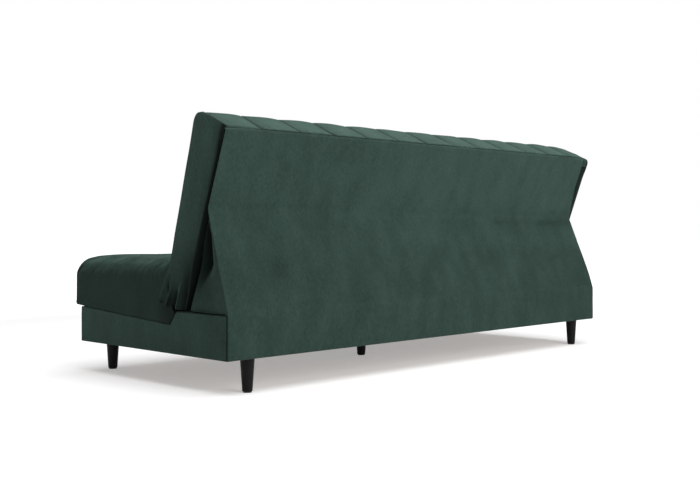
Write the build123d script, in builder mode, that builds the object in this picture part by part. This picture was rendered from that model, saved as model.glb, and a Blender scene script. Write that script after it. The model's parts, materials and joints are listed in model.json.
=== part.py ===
"""Sofa bed with a fold-flat backrest and a lift-up seat over a bedding box.

The base box stands on five tapered legs. The upholstered backrest turns on a hinge bracket at each end and
folds back flat. The seat rides on two pairs of parallel arms, so it lifts forwards and up, level, off the
box.
X runs along the sofa, -Y is the front, Z is up, and the origin is on the floor below the middle of the box
round the whole sofa. Left is +X, as a sitter has it. Sizes are millimetres.
"""

import math
import os

from build123d import *

os.makedirs("parts", exist_ok=True)

# Overall sizes
WIDTH = 1950.0
DEPTH = 830.0
SEAT_OVERHANG = 34.0
LEG_HEIGHT = 103.0
BASE_HEIGHT = 128.0

# Boards and cloth
COVER = 3.0
PANEL = 18.0
BOTTOM_BOARD = 6.0
SLAT = 10.0
SLAT_WIDTH = 62.0
RAIL = 30.0
SEAT_SLATS = 11
BACK_SLATS = 9

# Legs
LEG_TOP_RADIUS = 22.0
LEG_FOOT_RADIUS = 15.5
LEG_EDGE = 1.5
LEG_INSET_X = 103.0
LEG_INSET_FRONT = 32.0
LEG_INSET_REAR = 41.0
GLIDE = 3.0
GLIDE_RADIUS = 13.0
BOLT_RADIUS = 4.0
BOLT_IN_LEG = 42.0
BOLT_IN_BLOCK = 18.0
BLOCK_LENGTH = 80.0
BLOCK_WIDTH = 60.0
BLOCK_HEIGHT = 20.0
CENTRE_RAIL_WIDTH = 40.0
CENTRE_RAIL_HEIGHT = 40.0

# Seat
SEAT_BELOW_BASE = 9.0
SEAT_FALL = 3.37
SEAT_GAP = 4.0
SEAT_FRAME = 40.0
CUSHION_SIDE = 73.0
CUSHION_SHOULDER = 29.0
CUSHION_CROWN = 128.0
CUSHION_REAR = 114.0
SEAT_DRAWN_IN = 6.0
SEAT_BORDER = 9.0
SEAT_FRONT_BORDER = 17.0
SEAT_END_BOARD = 12.0
SEAT_TO_BACK = 9.0
NOTCH_FROM_HINGE = 81.0
NOTCH_RUN = 33.0

# Backrest
HINGE_FROM_REAR = 204.0
HINGE_ABOVE_BASE = 54.0
FRONT_LEAN = 15.5
BACK_LEAN = 20.0
FACE = 106.0
TAIL = 12.7
LOW_END = 64.0
LOW_ROUND = 35.0
LOW_CLEAR = 3.7
BACK_LENGTH = 522.0
TOP_ROUND = 35.0
PAD = 62.0
TOP_PAD = 40.0
CHANNEL_PITCH = 150.0
CHANNEL_DEPTH = 8.0
BACK_END = 25.0
END_EDGE = 9.0
BACK_SLAT = 8.0
BACK_RAIL = 45.0
BACK_RAIL_LOW = 30.0
SPACER_HEIGHT = 50.0
SPACER_CLEAR = 12.0

# Rear flap of cloth between the backrest and the base
WAIST_DROP = 250.0
FLAP_START = 20.0
FLAP_FOLD = 16.0
FLAP_CLEAR = 1.2
CLOTH_REST = 0.3

# Mechanism, with its plates side by side from the box wall inwards
PLATE = 5.0
PLATE_GAP = 0.5
MECHANISM_RAIL = 49.0
ARM_LENGTH = 180.0
ARM_WIDTH = 26.0
ARM_REST_ANGLE = 20.0
ARM_SPACING = 200.0
ARM_PIVOT_FROM_FRONT = 261.0
ARM_PIVOT_ABOVE_BOARD = 31.0
STUD_RADIUS = 5.0
STUD_HEAD_RADIUS = 8.0
STUD_HEAD = 3.0
RUNNING_CLEARANCE = 0.06
PLATE_MARGIN = 20.0
BRACKET_WIDTH = 90.0
BRACKET_HEAD_RADIUS = 24.0
HINGE_PIN_RADIUS = 6.0
HINGE_PIN_HEAD_RADIUS = 10.0
HINGE_PIN_HEAD = 4.0
HOLE_CLEARANCE = 0.1
BACK_ARM_LENGTH = 270.0
BACK_ARM_HEAD_RADIUS = 20.0
BACK_ARM_END_RADIUS = 15.0
HOUSING = 12.0
HOUSING_RADIUS = 38.0
HOUSING_EDGE = 3.0
HOUSING_RIVETS = 6
RIVET_RADIUS = 3.0
RIVET_RISE = 1.5
BUFFER_RADIUS = 7.0
BUFFER_CLEAR = 0.3
BUFFER_PITCH = 400.0
BUFFERS = 4

# Levels and faces that follow from the sizes above
HALF = WIDTH / 2
SEAT_FRONT = -DEPTH / 2
BASE_REAR = DEPTH / 2
BASE_FRONT = SEAT_FRONT + SEAT_OVERHANG
BASE_TOP = LEG_HEIGHT + BASE_HEIGHT
FLOOR_TOP = LEG_HEIGHT + BOTTOM_BOARD
WALL_OUT = HALF - COVER
WALL_IN = WALL_OUT - PANEL
FRONT_OUT = BASE_FRONT + COVER
FRONT_IN = FRONT_OUT + PANEL
REAR_OUT = BASE_REAR - COVER
REAR_IN = REAR_OUT - PANEL
SEAT_UNDER_Z = BASE_TOP - SEAT_BELOW_BASE
SEAT_DECK = SEAT_UNDER_Z + SEAT_FRAME
SEAT_PAD_Z = SEAT_DECK + SLAT
SEAT_EDGE_Z = SEAT_PAD_Z + CUSHION_SIDE
SEAT_CROWN_Z = SEAT_PAD_Z + CUSHION_CROWN
SEAT_REAR_EDGE_Z = SEAT_PAD_Z + CUSHION_REAR
HINGE_Y = BASE_REAR - HINGE_FROM_REAR
HINGE_Z = BASE_TOP + HINGE_ABOVE_BASE
NOTCH_Y = HINGE_Y - NOTCH_FROM_HINGE
ARM_PIVOT_Y = BASE_FRONT + ARM_PIVOT_FROM_FRONT
LOW_Z = BASE_TOP + LOW_CLEAR

# Lanes of the mechanism along X
PLATE_OUT = WALL_IN - MECHANISM_RAIL
PLATE_IN = PLATE_OUT - PLATE
ARM_OUT = PLATE_IN - PLATE_GAP
ARM_IN = ARM_OUT - PLATE
SEAT_PLATE_OUT = ARM_IN - PLATE_GAP
SEAT_PLATE_IN = SEAT_PLATE_OUT - PLATE
SEAT_RAIL_IN = SEAT_PLATE_IN - BACK_RAIL
BACK_RAIL_IN = ARM_IN - BACK_RAIL
BACK_END_IN = HALF - BACK_END

# Directions in the Y and Z plane: along and out of the front face, and along and out of the back face
front_up = (math.sin(math.radians(FRONT_LEAN)), math.cos(math.radians(FRONT_LEAN)))
front_out = (-front_up[1], front_up[0])
back_up = (math.sin(math.radians(BACK_LEAN)), math.cos(math.radians(BACK_LEAN)))
back_out = (back_up[1], -back_up[0])


def front_point(out, up):
    """Point in Y and Z, measured from the hinge square to the front face and along it."""
    return (
        HINGE_Y + out * front_out[0] + up * front_up[0],
        HINGE_Z + out * front_out[1] + up * front_up[1],
    )


def back_point(out, up):
    """Point in Y and Z, measured from the hinge square to the back face and along it."""
    return (
        HINGE_Y + out * back_out[0] + up * back_up[0],
        HINGE_Z + out * back_out[1] + up * back_up[1],
    )


def on_front(out, z):
    """Point at a height on a line parallel to the front face."""
    up = (z - HINGE_Z - out * front_out[1]) / front_up[1]
    return front_point(out, up)


def on_back(out, z):
    """Point at a height on a line parallel to the back face."""
    up = (z - HINGE_Z - out * back_out[1]) / back_up[1]
    return back_point(out, up)


def front_to_top(out, up):
    """Crossing of a line parallel to the front face with one square to the back face."""
    turn = front_up[0] * back_up[0] + front_up[1] * back_up[1]
    lift = front_out[0] * back_up[0] + front_out[1] * back_up[1]
    return front_point(out, (up - out * lift) / turn)


def seat_under(y):
    """Height of the seat's sloping underside."""
    return SEAT_UNDER_Z - (y - BASE_FRONT) * math.tan(math.radians(SEAT_FALL))


def seat_rear(z):
    """Depth of the seat's rear face, which stands just clear of the backrest."""
    return on_front(FACE + SEAT_TO_BACK, z)[0]


def plate(outline, inner, outer):
    """Board or plate on the left side: an outline in Y and Z between two distances along X."""
    with BuildPart() as board:
        with BuildSketch(Plane.YZ.offset(inner)):
            with BuildLine():
                Polyline(*outline, close=True)
            make_face()
        extrude(amount=outer - inner)
    return board


def box(low, high):
    """Board with square corners between its lowest and highest corner."""
    with BuildPart() as board:
        with BuildSketch(Plane.XY.offset(low[2])):
            with Locations(((low[0] + high[0]) / 2, (low[1] + high[1]) / 2)):
                Rectangle(high[0] - low[0], high[1] - low[1])
        extrude(amount=high[2] - low[2])
    return board


def keep(block, name):
    """Labels a finished piece and writes it."""
    block.part.label = name
    export_step(block.part, f"parts/{name}.step")


def keep_pair(block, name):
    """Writes a left-hand piece and its mirrored twin."""
    keep(block, f"{name}_left")
    with BuildPart() as twin:
        mirror(block.part, about=Plane.YZ)
    keep(twin, f"{name}_right")


# Legs with their bolts and glides
leg_x = HALF - LEG_INSET_X
leg_front_y = BASE_FRONT + LEG_INSET_FRONT
leg_rear_y = BASE_REAR - LEG_INSET_REAR
leg_places = {
    "leg_front_left": (leg_x, leg_front_y),
    "leg_front_right": (-leg_x, leg_front_y),
    "leg_rear_left": (leg_x, leg_rear_y),
    "leg_rear_right": (-leg_x, leg_rear_y),
    "leg_centre": (0.0, 0.0),
}
for leg_name, (leg_at_x, leg_at_y) in leg_places.items():
    with BuildPart() as leg:
        with BuildSketch(Plane((leg_at_x, leg_at_y, 0), x_dir=(1, 0, 0), z_dir=(0, -1, 0))):
            with BuildLine():
                Polyline(
                    (0, GLIDE),
                    (LEG_FOOT_RADIUS - LEG_EDGE, GLIDE),
                    (LEG_FOOT_RADIUS, GLIDE + LEG_EDGE),
                    (LEG_TOP_RADIUS, LEG_HEIGHT),
                    (BOLT_RADIUS + HOLE_CLEARANCE, LEG_HEIGHT),
                    (BOLT_RADIUS + HOLE_CLEARANCE, LEG_HEIGHT - BOLT_IN_LEG),
                    (0, LEG_HEIGHT - BOLT_IN_LEG),
                    close=True,
                )
            make_face()
        revolve(axis=Axis((leg_at_x, leg_at_y, 0), (0, 0, 1)))
    keep(leg, leg_name)

with BuildPart() as leg_glides:
    with BuildSketch():
        with Locations(*leg_places.values()):
            Circle(GLIDE_RADIUS)
    extrude(amount=GLIDE)
keep(leg_glides, "leg_glides")

with BuildPart() as leg_bolts:
    with BuildSketch(Plane.XY.offset(LEG_HEIGHT - BOLT_IN_LEG)):
        with Locations(*leg_places.values()):
            Circle(BOLT_RADIUS)
    extrude(amount=BOLT_IN_LEG + BOTTOM_BOARD + BOLT_IN_BLOCK)
keep(leg_bolts, "leg_bolts")

# Base box
with BuildPart() as base_bottom_board:
    with BuildSketch(Plane.XY.offset(LEG_HEIGHT)):
        with Locations((0, (FRONT_IN + REAR_IN) / 2)):
            Rectangle(2 * WALL_IN, REAR_IN - FRONT_IN)
        with Locations(*leg_places.values()):
            Circle(BOLT_RADIUS + HOLE_CLEARANCE, mode=Mode.SUBTRACT)
    extrude(amount=BOTTOM_BOARD)
keep(base_bottom_board, "base_bottom_board")

with BuildPart() as leg_blocks:
    with BuildSketch(Plane.XY.offset(FLOOR_TOP)):
        for block_y in (FRONT_IN + BLOCK_WIDTH / 2, REAR_IN - BLOCK_WIDTH / 2):
            with Locations((leg_x, block_y), (-leg_x, block_y)):
                Rectangle(BLOCK_LENGTH, BLOCK_WIDTH)
        with Locations(*leg_places.values()):
            Circle(BOLT_RADIUS + HOLE_CLEARANCE, mode=Mode.SUBTRACT)
    extrude(amount=BLOCK_HEIGHT)
keep(leg_blocks, "leg_blocks")

with BuildPart() as base_centre_rail:
    with BuildSketch(Plane.XY.offset(FLOOR_TOP)):
        with Locations((0, (FRONT_IN + REAR_IN) / 2)):
            Rectangle(CENTRE_RAIL_WIDTH, REAR_IN - FRONT_IN)
        Circle(BOLT_RADIUS + HOLE_CLEARANCE, mode=Mode.SUBTRACT)
    extrude(amount=CENTRE_RAIL_HEIGHT)
keep(base_centre_rail, "base_centre_rail")

front_top = seat_under(FRONT_OUT) - SEAT_GAP
front_panel_top = seat_under(FRONT_IN) - SEAT_GAP
base_front_panel = box((-WALL_IN, FRONT_OUT, LEG_HEIGHT), (WALL_IN, FRONT_IN, front_panel_top))
keep(base_front_panel, "base_front_panel")
base_rear_panel = box((-WALL_IN, REAR_IN, LEG_HEIGHT), (WALL_IN, REAR_OUT, BASE_TOP))
keep(base_rear_panel, "base_rear_panel")


def base_wall(front, rear, low):
    """Outline of a base wall, notched along its top for the sloping seat."""
    return [
        (front, low),
        (rear, low),
        (rear, BASE_TOP),
        (NOTCH_Y + NOTCH_RUN, BASE_TOP),
        (NOTCH_Y, seat_under(NOTCH_Y) - SEAT_GAP),
        (front, seat_under(front) - SEAT_GAP),
    ]


keep_pair(plate(base_wall(FRONT_OUT, REAR_OUT, LEG_HEIGHT), WALL_IN, WALL_OUT), "base_side")
keep_pair(plate(base_wall(FRONT_OUT, REAR_OUT, LEG_HEIGHT), WALL_OUT, HALF), "base_cover")
base_cover_front = box((-HALF, BASE_FRONT, LEG_HEIGHT), (HALF, FRONT_OUT, front_top))
keep(base_cover_front, "base_cover_front")
base_cover_rear = box((-HALF, REAR_OUT, LEG_HEIGHT), (HALF, BASE_REAR, BASE_TOP))
keep(base_cover_rear, "base_cover_rear")

mechanism_front = FRONT_IN + BLOCK_WIDTH
mechanism_rear = REAR_IN - BLOCK_WIDTH
mechanism_rail = plate(base_wall(mechanism_front, mechanism_rear, FLOOR_TOP), PLATE_OUT, WALL_IN)
keep_pair(mechanism_rail, "mechanism_rail")

with BuildPart() as seat_buffers:
    buffer_y = (FRONT_OUT + FRONT_IN) / 2
    with BuildSketch(Plane.XY.offset(front_panel_top)):
        with Locations((0, buffer_y)):
            with GridLocations(BUFFER_PITCH, 0, BUFFERS, 1):
                Circle(BUFFER_RADIUS)
    extrude(amount=seat_under(buffer_y + BUFFER_RADIUS) - BUFFER_CLEAR - front_panel_top)
keep(seat_buffers, "seat_buffers")

# Lifting arms: each pair of pivots lies along the slope of the seat
arm_pivot_z = FLOOR_TOP + ARM_PIVOT_ABOVE_BOARD
slope = math.radians(SEAT_FALL)
lean = math.radians(ARM_REST_ANGLE)
rear_pivot = (ARM_PIVOT_Y, arm_pivot_z)
front_pivot = (ARM_PIVOT_Y - ARM_SPACING * math.cos(slope), arm_pivot_z + ARM_SPACING * math.sin(slope))
arm_reach = (ARM_LENGTH * math.cos(lean), ARM_LENGTH * math.sin(lean))
rear_seat_pivot = (rear_pivot[0] + arm_reach[0], rear_pivot[1] + arm_reach[1])
front_seat_pivot = (front_pivot[0] + arm_reach[0], front_pivot[1] + arm_reach[1])


def lift_arm(low, high):
    """Flat arm with round ends and a running hole at each pivot."""
    with BuildPart() as arm:
        with BuildSketch(Plane.YZ.offset(ARM_IN)):
            with Locations(((low[0] + high[0]) / 2, (low[1] + high[1]) / 2)):
                SlotCenterToCenter(ARM_LENGTH, ARM_WIDTH, rotation=ARM_REST_ANGLE)
            with Locations(low, high):
                Circle(STUD_RADIUS + RUNNING_CLEARANCE, mode=Mode.SUBTRACT)
        extrude(amount=PLATE)
    return arm


def pivot_plate(first, second, inner, head_at, stud_from, stud_to):
    """Plate along two pivots with a riveted stud and its head at each."""
    middle = ((first[0] + second[0]) / 2, (first[1] + second[1]) / 2)
    with BuildPart() as carrier:
        with BuildSketch(Plane.YZ.offset(inner)):
            with Locations(middle):
                SlotCenterToCenter(ARM_SPACING, 2 * PLATE_MARGIN, rotation=-SEAT_FALL)
        extrude(amount=PLATE)
        with BuildSketch(Plane.YZ.offset(stud_from)):
            with Locations(first, second):
                Circle(STUD_RADIUS)
        extrude(amount=stud_to - stud_from)
        with BuildSketch(Plane.YZ.offset(head_at)):
            with Locations(first, second):
                Circle(STUD_HEAD_RADIUS)
        extrude(amount=STUD_HEAD)
    return carrier


keep_pair(lift_arm(rear_pivot, rear_seat_pivot), "rear_arm")
keep_pair(lift_arm(front_pivot, front_seat_pivot), "front_arm")
lift_head = ARM_IN - PLATE_GAP - STUD_HEAD
keep_pair(pivot_plate(front_pivot, rear_pivot, PLATE_IN, lift_head, lift_head, PLATE_OUT), "lift_plate")
seat_head = ARM_OUT + PLATE_GAP
seat_bracket = pivot_plate(
    front_seat_pivot, rear_seat_pivot, SEAT_PLATE_IN, seat_head, SEAT_PLATE_IN, seat_head + STUD_HEAD
)
keep_pair(seat_bracket, "seat_bracket")

# Backrest hinge: bracket, ratchet housing and pin on the box, arm on the backrest
hinge = (HINGE_Y, HINGE_Z)
bracket_front = HINGE_Y - BRACKET_WIDTH / 2
bracket_rear = HINGE_Y + BRACKET_WIDTH / 2
with BuildPart() as hinge_bracket:
    with BuildSketch(Plane.YZ.offset(PLATE_IN)):
        with BuildLine():
            Polyline(
                (bracket_front, FLOOR_TOP),
                (bracket_rear, FLOOR_TOP),
                (bracket_rear, BASE_TOP - PANEL),
                (HINGE_Y + BRACKET_HEAD_RADIUS, HINGE_Z),
                (HINGE_Y - BRACKET_HEAD_RADIUS, HINGE_Z),
                (bracket_front, BASE_TOP - PANEL),
                close=True,
            )
        make_face()
        with Locations(hinge):
            Circle(BRACKET_HEAD_RADIUS)
            Circle(HINGE_PIN_RADIUS + HOLE_CLEARANCE, mode=Mode.SUBTRACT)
    extrude(amount=PLATE)
keep_pair(hinge_bracket, "hinge_bracket")

with BuildPart() as ratchet_housing:
    with BuildSketch(Plane.YZ.offset(PLATE_OUT)):
        with Locations(hinge):
            Circle(HOUSING_RADIUS)
    extrude(amount=HOUSING)
    chamfer(ratchet_housing.edges().group_by(Axis.X)[-1], HOUSING_EDGE)
    with BuildSketch(Plane.YZ.offset(PLATE_OUT + HOUSING)):
        with Locations(hinge):
            with PolarLocations((HOUSING_RADIUS + HINGE_PIN_HEAD_RADIUS) / 2, HOUSING_RIVETS):
                Circle(RIVET_RADIUS)
    extrude(amount=RIVET_RISE)
    with BuildSketch(Plane.YZ.offset(PLATE_OUT)):
        with Locations(hinge):
            Circle(HINGE_PIN_RADIUS + HOLE_CLEARANCE)
    extrude(amount=HOUSING, mode=Mode.SUBTRACT)
keep_pair(ratchet_housing, "ratchet_housing")

with BuildPart() as hinge_pins:
    pin_end = PLATE_OUT + HOUSING
    with BuildSketch(Plane.YZ.offset(ARM_IN + PLATE_GAP)):
        with Locations(hinge):
            Circle(HINGE_PIN_RADIUS)
    extrude(amount=pin_end - ARM_IN - PLATE_GAP)
    with BuildSketch(Plane.YZ.offset(pin_end)):
        with Locations(hinge):
            Circle(HINGE_PIN_HEAD_RADIUS)
    extrude(amount=HINGE_PIN_HEAD)
    mirror(about=Plane.YZ)
keep(hinge_pins, "hinge_pins")

# Seat frame, slats and border
seat_front_in = SEAT_FRONT + SEAT_FRONT_BORDER
seat_rail_rear = seat_rear(seat_under(0.0)) - COVER
notch_top = rear_seat_pivot[1] + PLATE_MARGIN + SEAT_GAP
seat_front_rail = plate(
    [
        (seat_front_in, seat_under(seat_front_in)),
        (seat_front_in + RAIL, seat_under(seat_front_in + RAIL)),
        (seat_front_in + RAIL, SEAT_DECK),
        (seat_front_in, SEAT_DECK),
    ],
    -WALL_IN,
    WALL_IN,
)
keep(seat_front_rail, "seat_front_rail")

with BuildPart() as seat_rear_rail:
    with BuildSketch(Plane.YZ.offset(-WALL_IN)):
        with BuildLine():
            Polyline(
                (seat_rail_rear - RAIL, seat_under(seat_rail_rear - RAIL)),
                (seat_rail_rear, seat_under(seat_rail_rear)),
                (seat_rail_rear, SEAT_DECK),
                (seat_rail_rear - RAIL, SEAT_DECK),
                close=True,
            )
        make_face()
    extrude(amount=2 * WALL_IN)
    with BuildSketch(Plane.YZ.offset(SEAT_RAIL_IN)):
        with Locations((seat_rail_rear, notch_top)):
            Rectangle(4 * RAIL, SEAT_DECK, align=(Align.CENTER, Align.MAX))
    extrude(amount=HALF - SEAT_RAIL_IN, mode=Mode.SUBTRACT)
    with BuildSketch(Plane.YZ.offset(-HALF)):
        with Locations((seat_rail_rear, notch_top)):
            Rectangle(4 * RAIL, SEAT_DECK, align=(Align.CENTER, Align.MAX))
    extrude(amount=HALF - SEAT_RAIL_IN, mode=Mode.SUBTRACT)
keep(seat_rear_rail, "seat_rear_rail")

rail_front = seat_front_in + RAIL
rail_rear = seat_rail_rear - RAIL
seat_end_rail = plate(
    [
        (rail_front, seat_under(rail_front)),
        (rail_rear, seat_under(rail_rear)),
        (rail_rear, SEAT_DECK),
        (rail_front, SEAT_DECK),
    ],
    SEAT_RAIL_IN,
    SEAT_PLATE_IN,
)
keep_pair(seat_end_rail, "seat_end_rail")

slat_span = 2 * SEAT_RAIL_IN - SLAT_WIDTH
with BuildPart() as seat_slats:
    with BuildSketch(Plane.XY.offset(SEAT_DECK)):
        with Locations((0, (seat_front_in + seat_rail_rear) / 2)):
            with GridLocations(slat_span / (SEAT_SLATS - 1), 0, SEAT_SLATS, 1):
                Rectangle(SLAT_WIDTH, seat_rail_rear - seat_front_in)
    extrude(amount=SLAT)
keep(seat_slats, "seat_slats")

board_rear = seat_rear(seat_under(seat_rail_rear))
end_outline = [
    (seat_front_in, seat_under(seat_front_in)),
    (board_rear, seat_under(board_rear)),
    (seat_rear(SEAT_PAD_Z), SEAT_PAD_Z),
    (seat_front_in, SEAT_PAD_Z),
]
keep_pair(plate(end_outline, WALL_IN, WALL_IN + SEAT_END_BOARD), "seat_end_board")
keep_pair(plate(end_outline, WALL_IN + SEAT_END_BOARD, HALF), "seat_border")
seat_border_front = plate(
    [
        (SEAT_FRONT, seat_under(SEAT_FRONT)),
        (seat_front_in, seat_under(seat_front_in)),
        (seat_front_in, SEAT_PAD_Z),
        (SEAT_FRONT, SEAT_PAD_Z),
    ],
    -HALF,
    HALF,
)
keep(seat_border_front, "seat_border_front")

# Seat cushion: crowned along and across, with rounded shoulders and sides drawn in between the corners
shoulder_z = SEAT_EDGE_Z + CUSHION_SHOULDER
shoulder_turn = CUSHION_SHOULDER * (1 - math.sqrt(0.5))
crease = (seat_rear(SEAT_REAR_EDGE_Z), SEAT_REAR_EDGE_Z)
seat_rear_low = (seat_rear(SEAT_PAD_Z), SEAT_PAD_Z)
seat_middle = (SEAT_FRONT + crease[0]) / 2
with BuildPart() as seat_cushion:
    with BuildSketch(Plane.YZ.offset(-HALF)):
        with BuildLine():
            Polyline(crease, seat_rear_low, (SEAT_FRONT, SEAT_PAD_Z), (SEAT_FRONT, SEAT_EDGE_Z))
            ThreePointArc(
                (SEAT_FRONT, SEAT_EDGE_Z),
                (SEAT_FRONT + shoulder_turn, shoulder_z - shoulder_turn),
                (SEAT_FRONT + CUSHION_SHOULDER, shoulder_z),
            )
            ThreePointArc((SEAT_FRONT + CUSHION_SHOULDER, shoulder_z), (seat_middle, SEAT_CROWN_Z), crease)
        make_face()
    extrude(amount=WIDTH)
    with BuildSketch(Plane.XZ.offset(-BASE_REAR)):
        with BuildLine():
            for side in (1, -1):
                Line((side * HALF, SEAT_PAD_Z), (side * HALF, SEAT_EDGE_Z))
                ThreePointArc(
                    (side * HALF, SEAT_EDGE_Z),
                    (side * (HALF - shoulder_turn), shoulder_z - shoulder_turn),
                    (side * (HALF - CUSHION_SHOULDER), shoulder_z),
                )
            shoulder_x = HALF - CUSHION_SHOULDER
            ThreePointArc((-shoulder_x, shoulder_z), (0, SEAT_CROWN_Z), (shoulder_x, shoulder_z))
            Line((-HALF, SEAT_PAD_Z), (HALF, SEAT_PAD_Z))
        make_face()
    extrude(amount=BASE_REAR - SEAT_FRONT, mode=Mode.INTERSECT)
    with BuildSketch(Plane.XY.offset(SEAT_PAD_Z)):
        with BuildLine():
            for side in (1, -1):
                drawn_in = (side * (HALF - SEAT_DRAWN_IN), seat_middle)
                ThreePointArc((side * HALF, SEAT_FRONT), drawn_in, (side * HALF, crease[0]))
            Line((-HALF, SEAT_FRONT), (HALF, SEAT_FRONT))
            Line((-HALF, crease[0]), (HALF, crease[0]))
        make_face()
    extrude(amount=SEAT_CROWN_Z - SEAT_PAD_Z, mode=Mode.INTERSECT)
keep(seat_cushion, "seat_cushion")

# Cloth tucks that close the lower rear corners of the seat, below the end of the backrest
tuck_low = NOTCH_Y - SEAT_GAP
tuck_rear = NOTCH_Y + NOTCH_RUN - SEAT_GAP - COVER
tuck_outline = [
    (board_rear + CLOTH_REST, seat_under(board_rear)),
    (tuck_low, seat_under(tuck_low)),
    (tuck_rear, BASE_TOP - COVER),
    (seat_rear(BASE_TOP) + CLOTH_REST, BASE_TOP),
]
tuck = plate(tuck_outline, WALL_IN + SEAT_END_BOARD, HALF)
with BuildPart() as seat_tucks:
    add(tuck.part)
    mirror(about=Plane.YZ)
keep(seat_tucks, "seat_tucks")

# Backrest frame, between the slats behind the pad and the cloth on the back
pad_back = FACE - PAD
frame_front = pad_back - BACK_SLAT
frame_back = TAIL - COVER
top_under = BACK_LENGTH - TOP_PAD
rail_under = top_under - BACK_RAIL
end_rail_outline = [
    front_point(frame_front, -BACK_RAIL_LOW),
    front_to_top(frame_front, rail_under),
    back_point(frame_back, rail_under),
    back_point(frame_back, -BACK_RAIL_LOW),
]
keep_pair(plate(end_rail_outline, BACK_RAIL_IN, ARM_IN), "back_end_rail")
top_rail_outline = [
    front_to_top(frame_front, rail_under),
    front_to_top(frame_front, top_under),
    back_point(frame_back, top_under),
    back_point(frame_back, rail_under),
]
keep(plate(top_rail_outline, -ARM_IN, ARM_IN), "back_top_rail")
bottom_rail_outline = [
    front_point(frame_front, -BACK_RAIL_LOW),
    front_point(frame_front, BACK_RAIL - BACK_RAIL_LOW),
    back_point(frame_back, BACK_RAIL - BACK_RAIL_LOW),
    back_point(frame_back, -BACK_RAIL_LOW),
]
keep(plate(bottom_rail_outline, -BACK_RAIL_IN, BACK_RAIL_IN), "back_bottom_rail")

slat_low = front_point(frame_front, -BACK_RAIL_LOW)
slat_top = front_to_top(frame_front, top_under)
slat_plane = Plane((0, *slat_low), x_dir=(1, 0, 0), z_dir=(0, *front_up))
back_slat_span = 2 * BACK_RAIL_IN - SLAT_WIDTH
with BuildPart() as back_slats:
    with BuildSketch(slat_plane):
        with Locations((0, -BACK_SLAT / 2)):
            with GridLocations(back_slat_span / (BACK_SLATS - 1), 0, BACK_SLATS, 1):
                Rectangle(SLAT_WIDTH, BACK_SLAT)
    extrude(amount=math.dist(slat_low, slat_top))
keep(back_slats, "back_slats")

low_spacer = BACK_ARM_LENGTH + BACK_ARM_END_RADIUS + SPACER_CLEAR
high_spacer = top_under - SPACER_CLEAR - SPACER_HEIGHT
with BuildPart() as back_spacers:
    for spacer_low in (low_spacer, high_spacer):
        with BuildSketch(Plane.YZ.offset(ARM_IN)):
            with BuildLine():
                Polyline(
                    front_to_top(frame_front, spacer_low),
                    front_to_top(frame_front, spacer_low + SPACER_HEIGHT),
                    back_point(frame_back, spacer_low + SPACER_HEIGHT),
                    back_point(frame_back, spacer_low),
                    close=True,
                )
            make_face()
        extrude(amount=BACK_END_IN - ARM_IN)
    mirror(about=Plane.YZ)
keep(back_spacers, "back_spacers")

# Backrest arm, from the hinge up the outside of the end rail
arm_end_middle = front_to_top(frame_front, BACK_ARM_LENGTH)
arm_end_rear = back_point(frame_back, BACK_ARM_LENGTH)
arm_end = ((arm_end_middle[0] + arm_end_rear[0]) / 2, (arm_end_middle[1] + arm_end_rear[1]) / 2)
with BuildPart() as back_arm:
    with BuildSketch(Plane.YZ.offset(ARM_IN)) as arm_shape:
        with Locations(hinge):
            Circle(BACK_ARM_HEAD_RADIUS)
        with Locations(arm_end):
            Circle(BACK_ARM_END_RADIUS)
        make_hull()
        with Locations(hinge):
            Circle(HINGE_PIN_RADIUS + RUNNING_CLEARANCE, mode=Mode.SUBTRACT)
    extrude(amount=PLATE)
keep_pair(back_arm, "back_arm")

# Backrest ends: padded boards of the full side profile, rounded where the front and the top meet them
low_front = front_point(FACE, -LOW_END)
top_front = front_to_top(FACE, BACK_LENGTH)
end_low_out = (LOW_Z - HINGE_Z + LOW_END * front_up[1]) / front_out[1]
end_profile = [
    low_front,
    top_front,
    back_point(frame_back, BACK_LENGTH),
    on_back(frame_back, LOW_Z),
    front_point(end_low_out, -LOW_END),
]
with BuildPart() as back_end:
    with BuildSketch(Plane.YZ.offset(BACK_END_IN)) as end_shape:
        with BuildLine():
            Polyline(*end_profile, close=True)
        make_face()
        fillet(end_shape.vertices().sort_by_distance((*low_front, 0))[0], LOW_ROUND)
        fillet(end_shape.vertices().sort_by_distance((*top_front, 0))[0], TOP_ROUND)
    extrude(amount=BACK_END)
    fillet(back_end.faces().sort_by(Axis.X)[-1].edges(), END_EDGE)
keep_pair(back_end, "back_end")

# Backrest pad: upright channels up the front, round the top edge and back to the top seam
seam_count = int((BACK_END_IN - CHANNEL_PITCH / 2) // CHANNEL_PITCH) + 1
seams = [CHANNEL_PITCH * (place - 0.5) for place in range(1 - seam_count, seam_count + 1)]
seams = [-BACK_END_IN, *seams, BACK_END_IN]
channels = list(zip(seams, seams[1:]))
top_centre = front_to_top(FACE - TOP_ROUND, BACK_LENGTH - TOP_ROUND)
pad_low = front_point(0, -LOW_END)
pad_length = (top_centre[0] - pad_low[0]) * front_up[0] + (top_centre[1] - pad_low[1]) * front_up[1]
top_length = TAIL - COVER - (top_centre[0] - HINGE_Y) * back_out[0] - (top_centre[1] - HINGE_Z) * back_out[1]
top_turn = 90 + BACK_LEAN - FRONT_LEAN
pad_plane = Plane((0, *pad_low), x_dir=(1, 0, 0), z_dir=(0, *front_up))
top_plane = Plane((0, *top_centre), x_dir=(1, 0, 0), z_dir=(0, *back_out))
corner_plane = Plane((0, *top_centre), x_dir=(1, 0, 0), z_dir=(0, *front_up))
pad_runs = [
    (pad_plane, FACE, pad_back, pad_length),
    (top_plane, TOP_ROUND, TOP_ROUND - TOP_PAD, top_length),
    (corner_plane, TOP_ROUND, 0.0, None),
]
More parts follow.
